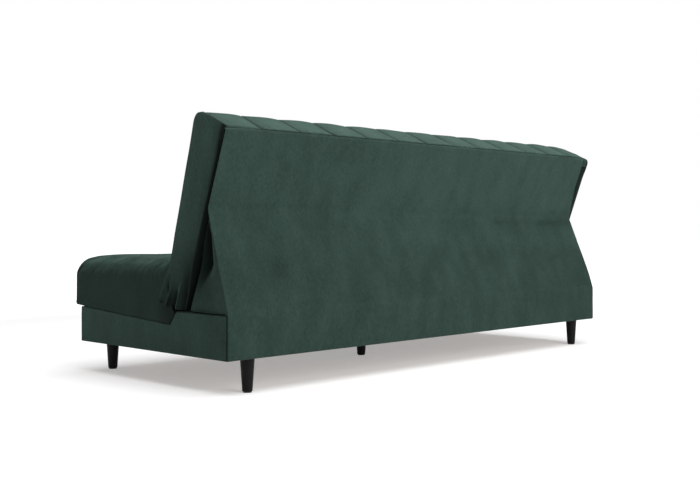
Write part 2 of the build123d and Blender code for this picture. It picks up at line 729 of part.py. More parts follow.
with BuildPart() as back_pad:
    for run_plane, crown, under, length in pad_runs:
        seam = CHANNEL_DEPTH - crown
        with BuildSketch(run_plane):
            with BuildLine():
                for start, end in channels:
                    ThreePointArc((start, seam), ((start + end) / 2, -crown), (end, seam))
                Polyline(
                    (BACK_END_IN, seam),
                    (BACK_END_IN, -under),
                    (-BACK_END_IN, -under),
                    (-BACK_END_IN, seam),
                )
            make_face()
        if length:
            extrude(amount=length)
        else:
            revolve(axis=Axis((0, *top_centre), (-1, 0, 0)), revolution_arc=top_turn)
    round_centre = front_point(FACE - LOW_ROUND, LOW_ROUND - LOW_END)
    with BuildSketch(Plane.YZ.offset(-HALF)):
        with BuildLine():
            Polyline(
                round_centre,
                front_point(FACE + LOW_ROUND, LOW_ROUND - LOW_END),
                front_point(FACE + LOW_ROUND, -LOW_END - LOW_ROUND),
                front_point(FACE - LOW_ROUND, -LOW_END - LOW_ROUND),
                close=True,
            )
        make_face()
        with Locations(round_centre):
            Circle(LOW_ROUND, mode=Mode.SUBTRACT)
    extrude(amount=WIDTH, mode=Mode.SUBTRACT)
keep(back_pad, "back_pad")

# Cloth on the back of the backrest, from the top seam to the waist
waist_up = BACK_LENGTH - WAIST_DROP
back_cloth = plate(
    [
        back_point(frame_back, waist_up - FLAP_START),
        back_point(frame_back, BACK_LENGTH),
        back_point(TAIL, BACK_LENGTH),
        back_point(TAIL, waist_up - FLAP_START),
    ],
    -HALF,
    HALF,
)
keep(back_cloth, "back_cloth")

# Rear flap: one cloth from the waist down to the box, with a folded gusset at each end
waist = back_point(TAIL, waist_up)
flap_top_z = waist[1] - FLAP_START
flap_low_z = BASE_TOP + CLOTH_REST
flap_lean = (BASE_REAR - waist[0]) / (waist[1] - BASE_TOP)
flap_sections = [
    (flap_low_z, on_back(TAIL, flap_low_z)[0], BASE_REAR, FLAP_FOLD),
    (flap_top_z, on_back(TAIL, flap_top_z)[0], waist[0] + FLAP_START * flap_lean, COVER),
]
with BuildPart() as rear_flap:
    for level, back_y, rear_y, fold in flap_sections:
        front_y = back_y + FLAP_CLEAR
        fold_y = (front_y + rear_y) / 2
        inside = HALF - COVER
        left_edge = [(HALF, front_y), (HALF - fold, fold_y), (HALF, rear_y)]
        left_inside = [(inside, rear_y - COVER), (inside - fold, fold_y), (inside, front_y)]
        with BuildSketch(Plane.XY.offset(level)):
            with BuildLine():
                Polyline(
                    *left_edge,
                    *[(-x, y) for x, y in reversed(left_edge)],
                    *[(-x, y) for x, y in reversed(left_inside)],
                    *left_inside,
                    close=True,
                )
            make_face()
    loft(ruled=True)
keep(rear_flap, "rear_flap")
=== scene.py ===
"""Looks of the fold-flat sofa bed: velvet upholstery, black legs, and the frame and fittings inside."""

import json
import logging
import math
from collections.abc import Callable, Sequence
from dataclasses import dataclass, field
from enum import Enum, IntEnum

import bpy
import numpy as np
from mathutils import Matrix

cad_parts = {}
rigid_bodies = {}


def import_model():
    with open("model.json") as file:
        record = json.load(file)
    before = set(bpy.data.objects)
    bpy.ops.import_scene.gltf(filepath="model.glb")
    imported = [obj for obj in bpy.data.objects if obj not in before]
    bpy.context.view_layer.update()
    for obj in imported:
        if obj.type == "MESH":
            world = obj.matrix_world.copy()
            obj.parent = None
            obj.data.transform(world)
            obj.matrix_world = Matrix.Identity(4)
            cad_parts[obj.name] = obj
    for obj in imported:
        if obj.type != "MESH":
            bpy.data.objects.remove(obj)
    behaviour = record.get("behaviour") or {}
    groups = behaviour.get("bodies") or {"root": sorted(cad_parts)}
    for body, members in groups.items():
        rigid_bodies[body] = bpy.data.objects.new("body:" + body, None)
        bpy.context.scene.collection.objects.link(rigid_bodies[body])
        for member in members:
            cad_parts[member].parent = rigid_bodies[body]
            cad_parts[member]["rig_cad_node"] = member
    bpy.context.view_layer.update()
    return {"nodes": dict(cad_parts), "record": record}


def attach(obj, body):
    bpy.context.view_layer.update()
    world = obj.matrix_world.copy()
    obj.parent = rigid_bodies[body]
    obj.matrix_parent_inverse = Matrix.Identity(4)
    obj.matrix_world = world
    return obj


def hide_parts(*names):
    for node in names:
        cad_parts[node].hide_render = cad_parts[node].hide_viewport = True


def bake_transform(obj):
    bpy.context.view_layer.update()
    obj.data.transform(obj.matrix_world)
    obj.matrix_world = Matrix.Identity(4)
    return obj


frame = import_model()

log = logging.getLogger("sofa")

Point = tuple[float, float]
Spot = tuple[float, float, float]
Colour = tuple[float, float, float]
Array = np.ndarray
Piece = bpy.types.Object
Tree = bpy.types.NodeTree
Socket = bpy.types.NodeSocket

# Half the length, the hinge in Y and Z, and the low and top edges of the box, in metres
HALF = 0.975
HINGE = (0.211, 0.285)
BASE_FOOT = 0.1022
BASE_TOP = 0.231

# The leans of the backrest's two faces, and the directions up each face and square to it
FRONT_LEAN = math.radians(15.5)
BACK_LEAN = math.radians(20.0)
FRONT_UP = (math.sin(FRONT_LEAN), math.cos(FRONT_LEAN))
FRONT_OUT = (-FRONT_UP[1], FRONT_UP[0])
BACK_UP = (math.sin(BACK_LEAN), math.cos(BACK_LEAN))
BACK_OUT = (BACK_UP[1], -BACK_UP[0])

# The seat's sloping underside: its low front edge in Y and Z, and its slope
SEAT_EDGE = (-0.381, 0.222)
SEAT_SLOPE = math.radians(3.37)

# The drop of the backrest's top towards its ends: where it starts, and how far it goes on each side
DROOP_FROM = 0.840
DROOP = (0.005, 0.030)

# The count of points round a corner, the distance within which points are merged, and the least divisor
ARC_POINTS = 9
MERGE = 0.00002
TINY = 1e-9

# Irregular waves: how many there are, their shares of the usual size, their starts and their level
RIPPLE_WAVES = 7
RIPPLE_SIZES = (0.7, 1.5)
RIPPLE_START = 6.3
RIPPLE_LEVEL = 2.6

# The edges that stay sharp on boards, cushions and cloth, in degrees
BOARD_ANGLE = 40.0
CUSHION_ANGLE = 50.0
CLOTH_ANGLE = 60.0

MIRRORED = np.array([-1.0, 1.0, 1.0])


class Slot(Enum):
    """Material slots of the record."""

    VELVET = "velvet"
    TIMBER = "timber"
    HARDBOARD = "hardboard"
    LEG = "leg_black"
    GLIDE = "glide"
    RUBBER = "rubber"
    STEEL = "steel"


class Body(Enum):
    """Bodies that the pieces ride on."""

    BASE = "base"
    SEAT = "seat"
    BACKREST = "backrest"


class Side(IntEnum):
    """Ends of the sofa, in the order in which sizes for both are given."""

    LEFT = 0
    RIGHT = 1


class Effect(Enum):
    """Shader effects that the finishes share."""

    PILE = "velvet_pile"
    FIGURE = "surface_figure"


# Soft steps


def smooth(value: Array | float, low: float, high: float) -> Array:
    """Eases from 0 to 1 between two values.

    Args:
        value: what is eased.
        low: where the ease starts.
        high: where the ease ends.

    Returns:
        The eased share.
    """
    share = np.clip((value - low) / (high - low), 0.0, 1.0)
    return share * share * (3.0 - 2.0 * share)


@dataclass(frozen=True)
class Ease:
    """A soft step between two values."""

    low: float
    high: float

    def up(self, value: Array | float) -> Array:
        """Gives the step from 0 to 1."""
        return smooth(value, self.low, self.high)

    def down(self, value: Array | float) -> Array:
        """Gives the step from 1 to 0."""
        return 1.0 - smooth(value, self.low, self.high)


# How far up the back face the drop towards the ends comes in
DROOP_UP = Ease(0.40, 0.50)


# Places on the backrest


def front_point(out: float, up: float) -> Point:
    """Finds a point in Y and Z from the front face.

    Args:
        out: distance from the hinge, square to the front face.
        up: distance from the hinge along the front face.

    Returns:
        The point's Y and Z.
    """
    return (
        HINGE[0] + out * FRONT_OUT[0] + up * FRONT_UP[0],
        HINGE[1] + out * FRONT_OUT[1] + up * FRONT_UP[1],
    )


def back_point(out: float, up: float) -> Point:
    """Finds a point in Y and Z from the back face.

    Args:
        out: distance from the hinge, square to the back face.
        up: distance from the hinge along the back face.

    Returns:
        The point's Y and Z.
    """
    return (
        HINGE[0] + out * BACK_OUT[0] + up * BACK_UP[0],
        HINGE[1] + out * BACK_OUT[1] + up * BACK_UP[1],
    )


def front_to_top(out: float, up: float) -> Point:
    """Finds where a line along the front face meets one square to the back face.

    Args:
        out: the first line's distance from the hinge.
        up: the second line's distance along the back face.

    Returns:
        The crossing's Y and Z.
    """
    turn = FRONT_UP[0] * BACK_UP[0] + FRONT_UP[1] * BACK_UP[1]
    lift = FRONT_OUT[0] * BACK_UP[0] + FRONT_OUT[1] * BACK_UP[1]
    return front_point(out, (up - out * lift) / turn)


def on_front(out: float, z: Array | float) -> Point:
    """Finds the point at a height on a line along the front face.

    Args:
        out: the line's distance from the hinge.
        z: the height.

    Returns:
        The point's Y and Z.
    """
    return front_point(out, (z - HINGE[1] - out * FRONT_OUT[1]) / FRONT_UP[1])


def on_back(out: float, z: Array | float) -> Point:
    """Finds the point at a height on a line along the back face.

    Args:
        out: the line's distance from the hinge.
        z: the height.

    Returns:
        The point's Y and Z.
    """
    return back_point(out, (z - HINGE[1] - out * BACK_OUT[1]) / BACK_UP[1])


def from_hinge(places: Array, way: Point) -> Array:
    """Measures how far points lie from the hinge in one direction.

    Args:
        places: points in Y and Z, one row each.
        way: the direction in Y and Z.

    Returns:
        One distance per point.
    """
    return (places[:, 0] - HINGE[0]) * way[0] + (places[:, 1] - HINGE[1]) * way[1]


def end_fall(x: Array | float) -> Array:
    """Gives how far the backrest's top drops towards its ends.

    Args:
        x: places along the sofa.

    Returns:
        The drop at each place.
    """
    share = np.clip((np.abs(x) - DROOP_FROM) / (HALF - DROOP_FROM), 0.0, 1.0)
    return np.where(np.asarray(x) > 0.0, *DROOP) * (1.0 - np.sqrt(1.0 - share**2))


def seat_under(y: float) -> float:
    """Gives the height of the seat's sloping underside at a depth."""
    return SEAT_EDGE[1] - (y - SEAT_EDGE[0]) * math.tan(SEAT_SLOPE)


# Shapes


def ripple(places: Array, size: float, seed: int) -> Array:
    """Makes gentle, irregular waves through space.

    Args:
        places: points, one row each.
        size: the usual distance between waves.
        seed: which waves.

    Returns:
        One height per point, about -1 to 1.
    """
    chance = np.random.default_rng(seed)
    height = np.zeros(len(places))
    for _ in range(RIPPLE_WAVES):
        way = chance.normal(size=3)
        way *= 2.0 * math.pi / (size * chance.uniform(*RIPPLE_SIZES) * np.linalg.norm(way))
        height += np.sin(places @ way + chance.uniform(0.0, RIPPLE_START))
    return height / RIPPLE_LEVEL


def corner_arc(before: Array, spot: Array, after: Array, radius: float) -> tuple[Array, Array, Array]:
    """Turns one corner of a line with a radius.

    Args:
        before: the corner before it.
        spot: the corner.
        after: the corner after it.
        radius: the radius of the turn.

    Returns:
        Where the turn starts, where it ends, and the points along it.
    """
    back = (before - spot) / np.linalg.norm(before - spot)
    ahead = (after - spot) / np.linalg.norm(after - spot)
    half = math.acos(float(np.clip(back @ ahead, -1.0, 1.0))) / 2.0
    reach = radius / math.tan(half)
    middle = back + ahead
    centre = spot + middle * radius / (math.sin(half) * np.linalg.norm(middle))
    first = spot + back * reach - centre
    last = spot + ahead * reach - centre
    start = math.atan2(first[1], first[0])
    turn = (math.atan2(last[1], last[0]) - start + math.pi) % (2.0 * math.pi) - math.pi
    angles = start + turn * np.linspace(0.0, 1.0, ARC_POINTS)
    arc = centre + radius * np.stack([np.cos(angles), np.sin(angles)], 1)
    return spot + back * reach, spot + ahead * reach, arc


def rounded(
    corners: Sequence[Point], radii: Sequence[float], counts: Sequence[int], closed: bool = True
) -> Array:
    """Draws a line through corners, each turned with its own radius.

    Args:
        corners: the corners in order.
        radii: the radius at each corner.
        counts: how many points lie on the straight after each corner.
        closed: whether the line runs back to its start.

    Returns:
        Points along the line, one row each.
    """
    spots = [np.array(corner, float) for corner in corners]
    total = len(spots)
    turns: list[tuple[Array, Array, Array]] = []
    for index, spot in enumerate(spots):
        if not closed and index in (0, total - 1):
            turns.append((spot, spot, spot[None, :]))
        else:
            turns.append(corner_arc(spots[index - 1], spot, spots[(index + 1) % total], radii[index]))
    drawn: list[Array] = []
    for index, (_, begin, arc) in enumerate(turns):
        drawn.append(arc)
        if closed or index < total - 1:
            finish = turns[(index + 1) % total][0]
            steps = np.linspace(0.0, 1.0, counts[index] + 2)[1:-1, None]
            drawn.append(begin + (finish - begin) * steps)
    return np.concatenate(drawn)


def outward(ring: Array) -> Array:
    """Finds the outward direction at each point of a closed ring.

    Args:
        ring: points in Y and Z, one row each.

    Returns:
        Unit directions, one row each.
    """
    along = np.roll(ring, -1, 0) - np.roll(ring, 1, 0)
    side = np.stack([along[:, 1], -along[:, 0]], 1)
    side /= np.maximum(np.linalg.norm(side, axis=1), TINY)[:, None]
    area = float(np.sum(ring[:, 0] * np.roll(ring[:, 1], -1) - np.roll(ring[:, 0], -1) * ring[:, 1]))
    return side if area > 0.0 else -side


def evened(line: Array, count: int) -> Array:
    """Spreads points evenly along a line.

    Args:
        line: points in Y and Z, one row each.
        count: how many points come back.

    Returns:
        The evenly spread points.
    """
    run = np.concatenate([[0.0], np.cumsum(np.linalg.norm(np.diff(line, axis=0), axis=1))])
    places = np.linspace(0.0, run[-1], count)
    return np.stack([np.interp(places, run, line[:, 0]), np.interp(places, run, line[:, 1])], 1)


def paired(first: Array, second: Array, count: int) -> Array:
    """Joins two lines with the same ends into a ring whose points face each other in pairs.

    Args:
        first: the line on one side.
        second: the line on the other side.
        count: points on each line.

    Returns:
        The ring's points.
    """
    return np.concatenate([evened(first, count), evened(second, count)[-2:0:-1]])


def narrowed(ring: Array, size: float) -> Array:
    """Draws the pairs of a ring's points towards each other.

    Args:
        ring: a ring made by paired.
        size: the share of their distance that is left.

    Returns:
        The narrower ring.
    """
    count = len(ring) // 2 + 1
    first = ring[:count]
    second = np.concatenate([ring[:1], ring[count:][::-1], ring[count - 1 : count]])
    middle = (first + second) / 2.0
    first = middle + (first - middle) * size
    second = middle + (second - middle) * size
    return np.concatenate([first, second[-2:0:-1]])


# Mesh work


def clear_selection() -> None:
    """Leaves edit mode and deselects everything."""
    if bpy.context.object is not None and bpy.context.object.mode != "OBJECT":
        bpy.ops.object.mode_set(mode="OBJECT")
    bpy.ops.object.select_all(action="DESELECT")


def choose(piece: Piece) -> None:
    """Selects one piece alone and makes it active.

    Args:
        piece: the piece.
    """
    clear_selection()
    piece.select_set(True)
    bpy.context.view_layer.objects.active = piece


def newly_made(name: str) -> Piece:
    """Names the piece that was made last.

    Args:
        name: its name.

    Returns:
        The piece.
    """
    piece = bpy.context.active_object
    piece.name = name
    piece.data.name = name
    return piece


def points(piece: Piece) -> Array:
    """Lists a piece's points.

    Args:
        piece: the piece.

    Returns:
        The points, one row each.
    """
    spots = np.zeros(len(piece.data.vertices) * 3, np.float32)
    piece.data.vertices.foreach_get("co", spots)
    return spots.reshape(-1, 3).astype(float)


def place_points(piece: Piece, spots: Array) -> None:
    """Moves a piece's points to new places."""
    piece.data.vertices.foreach_set("co", spots.astype(np.float32).ravel())
    piece.data.update()


def close_up(piece: Piece, fill: bool) -> None:
    """Merges doubled points, fills open ends and turns the faces outwards.

    Args:
        piece: the piece.
        fill: whether open ends are filled.
    """
    choose(piece)
    bpy.ops.object.mode_set(mode="EDIT")
    bpy.ops.mesh.select_mode(type="VERT")
    bpy.ops.mesh.select_all(action="SELECT")
    bpy.ops.mesh.remove_doubles(threshold=MERGE)
    if fill:
        bpy.ops.mesh.select_all(action="DESELECT")
        bpy.ops.mesh.select_non_manifold()
        bpy.ops.mesh.fill_holes(sides=0)
        bpy.ops.mesh.select_all(action="SELECT")
    bpy.ops.mesh.normals_make_consistent(inside=False)
    bpy.ops.object.mode_set(mode="OBJECT")


def panel(name: str, rows: Array, wrap: bool) -> Piece:
    """Lays a flat grid of cloth over rows of points.

    Args:
        name: the piece's name.
        rows: points as rows by columns by three.
        wrap: whether each row closes on itself.

    Returns:
        The new piece.
    """
    if wrap:
        rows = np.concatenate([rows, rows[:, :1]], 1)
    count, width = rows.shape[:2]
    clear_selection()
    bpy.ops.mesh.primitive_grid_add(x_subdivisions=width - 1, y_subdivisions=count - 1, size=2.0)
    piece = newly_made(name)
    spots = points(piece)
    column = np.rint((spots[:, 0] + 1.0) / 2.0 * (width - 1)).astype(int)
    row = np.rint((spots[:, 1] + 1.0) / 2.0 * (count - 1)).astype(int)
    place_points(piece, rows[row, column])
    close_up(piece, fill=wrap)
    return piece


def stitch_modifier(piece: Piece, kind: str, **values: object) -> None:
    """Adds one modifier to a piece and applies it.

    Args:
        piece: the piece.
        kind: the modifier's type.
        values: the modifier's settings.
    """
    choose(piece)
    modifier = piece.modifiers.new(kind.lower(), kind)
    for key, value in values.items():
        setattr(modifier, key, value)
    bpy.ops.object.modifier_apply(modifier=modifier.name)


def soften(piece: Piece, angle: float) -> None:
    """Shades a piece smooth except at edges sharper than an angle in degrees."""
    choose(piece)
    bpy.ops.object.shade_smooth_by_angle(angle=math.radians(angle))


def board(name: str, outline: Sequence[Point], low: float, high: float, edge: float) -> Piece:
    """Makes a flat board from an outline in Y and Z.

    Args:
        name: the piece's name.
        outline: the corners in order.
        low: where the board starts along X.
        high: where the board ends along X.
        edge: the radius of its edges.

    Returns:
        The new piece.
    """
    clear_selection()
    bpy.ops.mesh.primitive_circle_add(vertices=len(outline), fill_type="NGON")
    piece = newly_made(name)
    place_points(piece, np.array([(low, y, z) for y, z in outline]))
    bpy.ops.object.mode_set(mode="EDIT")
    bpy.ops.mesh.select_all(action="SELECT")
    bpy.ops.mesh.extrude_region_move(TRANSFORM_OT_translate={"value": (high - low, 0.0, 0.0)})
    bpy.ops.mesh.select_all(action="SELECT")
    bpy.ops.mesh.normals_make_consistent(inside=False)
    bpy.ops.object.mode_set(mode="OBJECT")
    sharp = math.radians(30.0)
    stitch_modifier(piece, "BEVEL", width=edge, segments=3, limit_method="ANGLE", angle_limit=sharp)
    soften(piece, BOARD_ANGLE)
    return piece


def twin(piece: Piece, name: str) -> Piece:
    """Copies a left-hand piece to the right.

    Args:
        piece: the left-hand piece.
        name: the copy's name.

    Returns:
        The copy.
    """
    choose(piece)
    bpy.ops.object.duplicate()
    copy = newly_made(name)
    bpy.ops.object.mode_set(mode="EDIT")
    bpy.ops.mesh.select_all(action="SELECT")
    bpy.ops.transform.resize(value=tuple(MIRRORED), center_override=(0.0, 0.0, 0.0))
    bpy.ops.mesh.normals_make_consistent(inside=False)
    bpy.ops.object.mode_set(mode="OBJECT")
    return copy


def report(piece: Piece) -> None:
    """Reports a finished piece."""
    log.info("%s %d faces", piece.name, len(piece.data.polygons))


# Finishes

# The middle range of a noise, and how fine each noise is along X, Y and Z, in waves per metre
NOISE_RANGE = (0.3, 0.7)
CLOUD = (14.0, 14.0, 7.0)
BRUSH = (170.0, 170.0, 80.0)
FIBRE = (900.0, 900.0, 900.0)
GRAIN = (3.0, 60.0, 60.0)
SPECKLE = (400.0, 400.0, 400.0)

# The fibres' share of the velvet's tone, and the brush marks' share of its height
FIBRE_SHARE = 0.12
BRUSH_HEIGHT = 0.5


def socket_group(effect: Effect, inputs: dict[str, float | Colour], outputs: Sequence[str]) -> Tree:
    """Starts a shader node group with named sockets.

    Args:
        effect: the effect that the group makes.
        inputs: each input's name and first value.
        outputs: the outputs' names; one named Colour is a colour.

    Returns:
        The group, with its input and output nodes in place.
    """
    group = bpy.data.node_groups.new(effect.value, "ShaderNodeTree")
    for key, value in inputs.items():
        kind = "NodeSocketFloat" if isinstance(value, float) else "NodeSocketColor"
        made = group.interface.new_socket(name=key, in_out="INPUT", socket_type=kind)
        made.default_value = value if isinstance(value, float) else (*value, 1.0)
    for key in outputs:
        kind = "NodeSocketColor" if key == "Colour" else "NodeSocketFloat"
        group.interface.new_socket(name=key, in_out="OUTPUT", socket_type=kind)
    group.nodes.new("NodeGroupInput")
    group.nodes.new("NodeGroupOutput")
    return group


def grain_node(group: Tree, scale: Spot, detail: float) -> Socket:
    """Adds a noise that is stretched along each axis by its own scale.

    Args:
        group: the group that gets it.
        scale: how fine the noise is along X, Y and Z.
        detail: how many finer layers it has.

    Returns:
        The noise's value socket.
    """
    place = group.nodes.new("ShaderNodeTexCoord")
    mapping = group.nodes.new("ShaderNodeMapping")
    mapping.inputs["Scale"].default_value = scale
    noise = group.nodes.new("ShaderNodeTexNoise")
    noise.inputs["Scale"].default_value = 1.0
    noise.inputs["Detail"].default_value = detail
    group.links.new(place.outputs["Object"], mapping.inputs["Vector"])
    group.links.new(mapping.outputs["Vector"], noise.inputs["Vector"])
    return noise.outputs["Fac"]


def spread(group: Tree, value: Socket, low: float, high: float) -> Socket:
    """Stretches a noise's middle range to run from low to high.

    Args:
        group: the group that gets the node.
        value: the noise.
        low: the lowest value that comes out.
        high: the highest value that comes out.

    Returns:
        The stretched value.
    """
    node = group.nodes.new("ShaderNodeMapRange")
    node.inputs["From Min"].default_value = NOISE_RANGE[0]
    node.inputs["From Max"].default_value = NOISE_RANGE[1]
    node.inputs["To Min"].default_value = low
    node.inputs["To Max"].default_value = high
    group.links.new(value, node.inputs["Value"])
    return node.outputs["Result"]


def work(group: Tree, kind: str, first: Socket, second: Socket | float) -> Socket:
    """Joins two values with a math node.

    Args:
        group: the group that gets the node.
        kind: the node's operation.
        first: the first value.
        second: the second value, or a number.

    Returns:
        The joined value.
    """
    node = group.nodes.new("ShaderNodeMath")
    node.operation = kind
    group.links.new(first, node.inputs[0])
    if isinstance(second, float):
        node.inputs[1].default_value = second
    else:
        group.links.new(second, node.inputs[1])
    return node.outputs[0]


def tint(group: Tree, colour: Socket, amount: Socket) -> Socket:
    """Makes a colour lighter or darker by a value.

    Args:
        group: the group that gets the node.
        colour: the colour.
        amount: what it is multiplied by.

    Returns:
        The changed colour.
    """
    node = group.nodes.new("ShaderNodeVectorMath")
    node.operation = "SCALE"
    group.links.new(colour, node.inputs[0])
    group.links.new(amount, node.inputs["Scale"])
    return node.outputs[0]


def pile_group() -> Tree:
    """Builds the velvet effect: mottling, short brush marks and fine fibres, times painted light and shade
    kept on each point.

    Returns:
        The group.
    """
    inputs = {"Tone": (0.05, 0.08, 0.07), "Mottle": 0.2, "Brush": 0.2}
    group = socket_group(Effect.PILE, inputs, ("Colour", "Height"))
    enter, leave = group.nodes["Group Input"], group.nodes["Group Output"]
    cloud = spread(group, grain_node(group, CLOUD, 4.0), -1.0, 1.0)
    brush = spread(group, grain_node(group, BRUSH, 3.0), -1.0, 1.0)
    fibre = spread(group, grain_node(group, FIBRE, 1.0), -1.0, 1.0)
    shade = work(group, "MULTIPLY", cloud, enter.outputs["Mottle"])
    marks = work(group, "MULTIPLY", brush, enter.outputs["Brush"])
    both = work(group, "ADD", shade, marks)
    pile = work(group, "MULTIPLY", fibre, FIBRE_SHARE)
    level = work(group, "ADD", work(group, "ADD", both, pile), 1.0)
    # The base colour is multiplied by the painted light and shade that each point keeps
    nap = group.nodes.new("ShaderNodeAttribute")
    nap.attribute_name = "nap"
    level = work(group, "MULTIPLY", level, nap.outputs["Fac"])
    height = work(group, "ADD", work(group, "MULTIPLY", brush, BRUSH_HEIGHT), fibre)
    group.links.new(tint(group, enter.outputs["Tone"], level), leave.inputs["Colour"])
    group.links.new(height, leave.inputs["Height"])
    return group


def figure_group() -> Tree:
    """Builds the effect for hard surfaces: grain along X and a fine speckle.

    Returns:
        The group.
    """
    inputs = {"Tone": (0.5, 0.4, 0.3), "Figure": 0.2}
    group = socket_group(Effect.FIGURE, inputs, ("Colour", "Height"))
    enter, leave = group.nodes["Group Input"], group.nodes["Group Output"]
    grain = spread(group, grain_node(group, GRAIN, 4.0), -1.0, 1.0)
    fine = spread(group, grain_node(group, SPECKLE, 2.0), -0.3, 0.3)
    both = work(group, "MULTIPLY", work(group, "ADD", grain, fine), enter.outputs["Figure"])
    level = work(group, "ADD", both, 1.0)
    group.links.new(tint(group, enter.outputs["Tone"], level), leave.inputs["Colour"])
    group.links.new(both, leave.inputs["Height"])
    return group


@dataclass(frozen=True)
class Finish:
    """A finish: one effect group with its own values, and the shader's plain values."""

    name: str
    tone: Colour
    effect: Effect
    values: tuple[tuple[str, float], ...]
    roughness: float
    specular: float
    bump: float = 0.1
    bump_height: float = 0.001
    sheen: float = 0.0
    sheen_roughness: float = 0.45
    sheen_tint: Colour = (0.42, 0.72, 0.62)

    def material(self) -> bpy.types.Material:
        """Makes the material, or gives it back if it is made already.

        Returns:
            The material.
        """
        found = bpy.data.materials.get(self.name)
        if found is not None:
            return found
        made = bpy.data.materials.new(self.name)
        made.use_nodes = True
        tree = made.node_tree
        shader = tree.nodes["Principled BSDF"]
        shader.inputs["Roughness"].default_value = self.roughness
        shader.inputs["Specular IOR Level"].default_value = self.specular
        if self.sheen:
            shader.inputs["Sheen Weight"].default_value = self.sheen
            shader.inputs["Sheen Roughness"].default_value = self.sheen_roughness
            shader.inputs["Sheen Tint"].default_value = (*self.sheen_tint, 1.0)
        group = tree.nodes.new("ShaderNodeGroup")
        group.node_tree = bpy.data.node_groups[self.effect.value]
        group.inputs["Tone"].default_value = (*self.tone, 1.0)
        for key, value in self.values:
            group.inputs[key].default_value = value
        bump = tree.nodes.new("ShaderNodeBump")
        bump.inputs["Strength"].default_value = self.bump
        bump.inputs["Distance"].default_value = self.bump_height
        tree.links.new(group.outputs["Colour"], shader.inputs["Base Color"])
        tree.links.new(group.outputs["Height"], bump.inputs["Height"])
        tree.links.new(bump.outputs["Normal"], shader.inputs["Normal"])
        return made


def hard_finish(
    name: str, tone: Colour, figure: float, roughness: float, specular: float, bump: float = 0.1
) -> Finish:
    """Gives the finish of a hard surface.

    Args:
        name: the finish's name.
        tone: its colour.
        figure: how strong its grain is.
        roughness: the shader's roughness.
        specular: the shader's specular level.
        bump: how strong its relief is.

    Returns:
        The finish.
    """
    return Finish(name, tone, Effect.FIGURE, (("Figure", figure),), roughness, specular, bump)


FINISHES: dict[Slot, Finish] = {
    Slot.VELVET: Finish(
        "green_velvet",
        tone=(0.0365, 0.0665, 0.0550),
        effect=Effect.PILE,
        values=(("Mottle", 0.15), ("Brush", 0.15)),
        roughness=0.9,
        specular=0.08,
        bump=0.3,
        sheen=0.12,
    ),
    Slot.TIMBER: hard_finish("planed_timber", (0.56, 0.41, 0.26), 0.22, 0.65, 0.3),
    Slot.HARDBOARD: hard_finish("hardboard", (0.20, 0.13, 0.08), 0.10, 0.7, 0.3),
    Slot.LEG: hard_finish("black_lacquer", (0.005, 0.005, 0.005), 0.15, 0.45, 0.10, 0.05),
    Slot.GLIDE: hard_finish("moulded_glide", (0.03, 0.03, 0.03), 0.1, 0.6, 0.4),
    Slot.RUBBER: hard_finish("black_rubber", (0.02, 0.02, 0.02), 0.1, 0.8, 0.3),
    Slot.STEEL: hard_finish("powder_coat", (0.03, 0.03, 0.033), 0.12, 0.5, 0.5, 0.08),
}


def dress(piece: Piece, slot: Slot, nap: Callable[[Array], Array] | None = None) -> None:
    """Gives a piece the finish of a record slot.

    Args:
        piece: the piece.
        slot: the slot.
        nap: gives the painted light and shade at each point; even if left out.
    """
    piece.data.materials.clear()
    piece.data.materials.append(FINISHES[slot].material())
    if slot is Slot.VELVET:
        # Velvet pieces keep their painted light and shade as a point attribute
        places = points(piece)
        painted_level = np.ones(len(places)) if nap is None else nap(places)
        made = piece.data.attributes.new("nap", "FLOAT", "POINT")
        made.data.foreach_set("value", painted_level.astype(np.float32))


# Upholstery


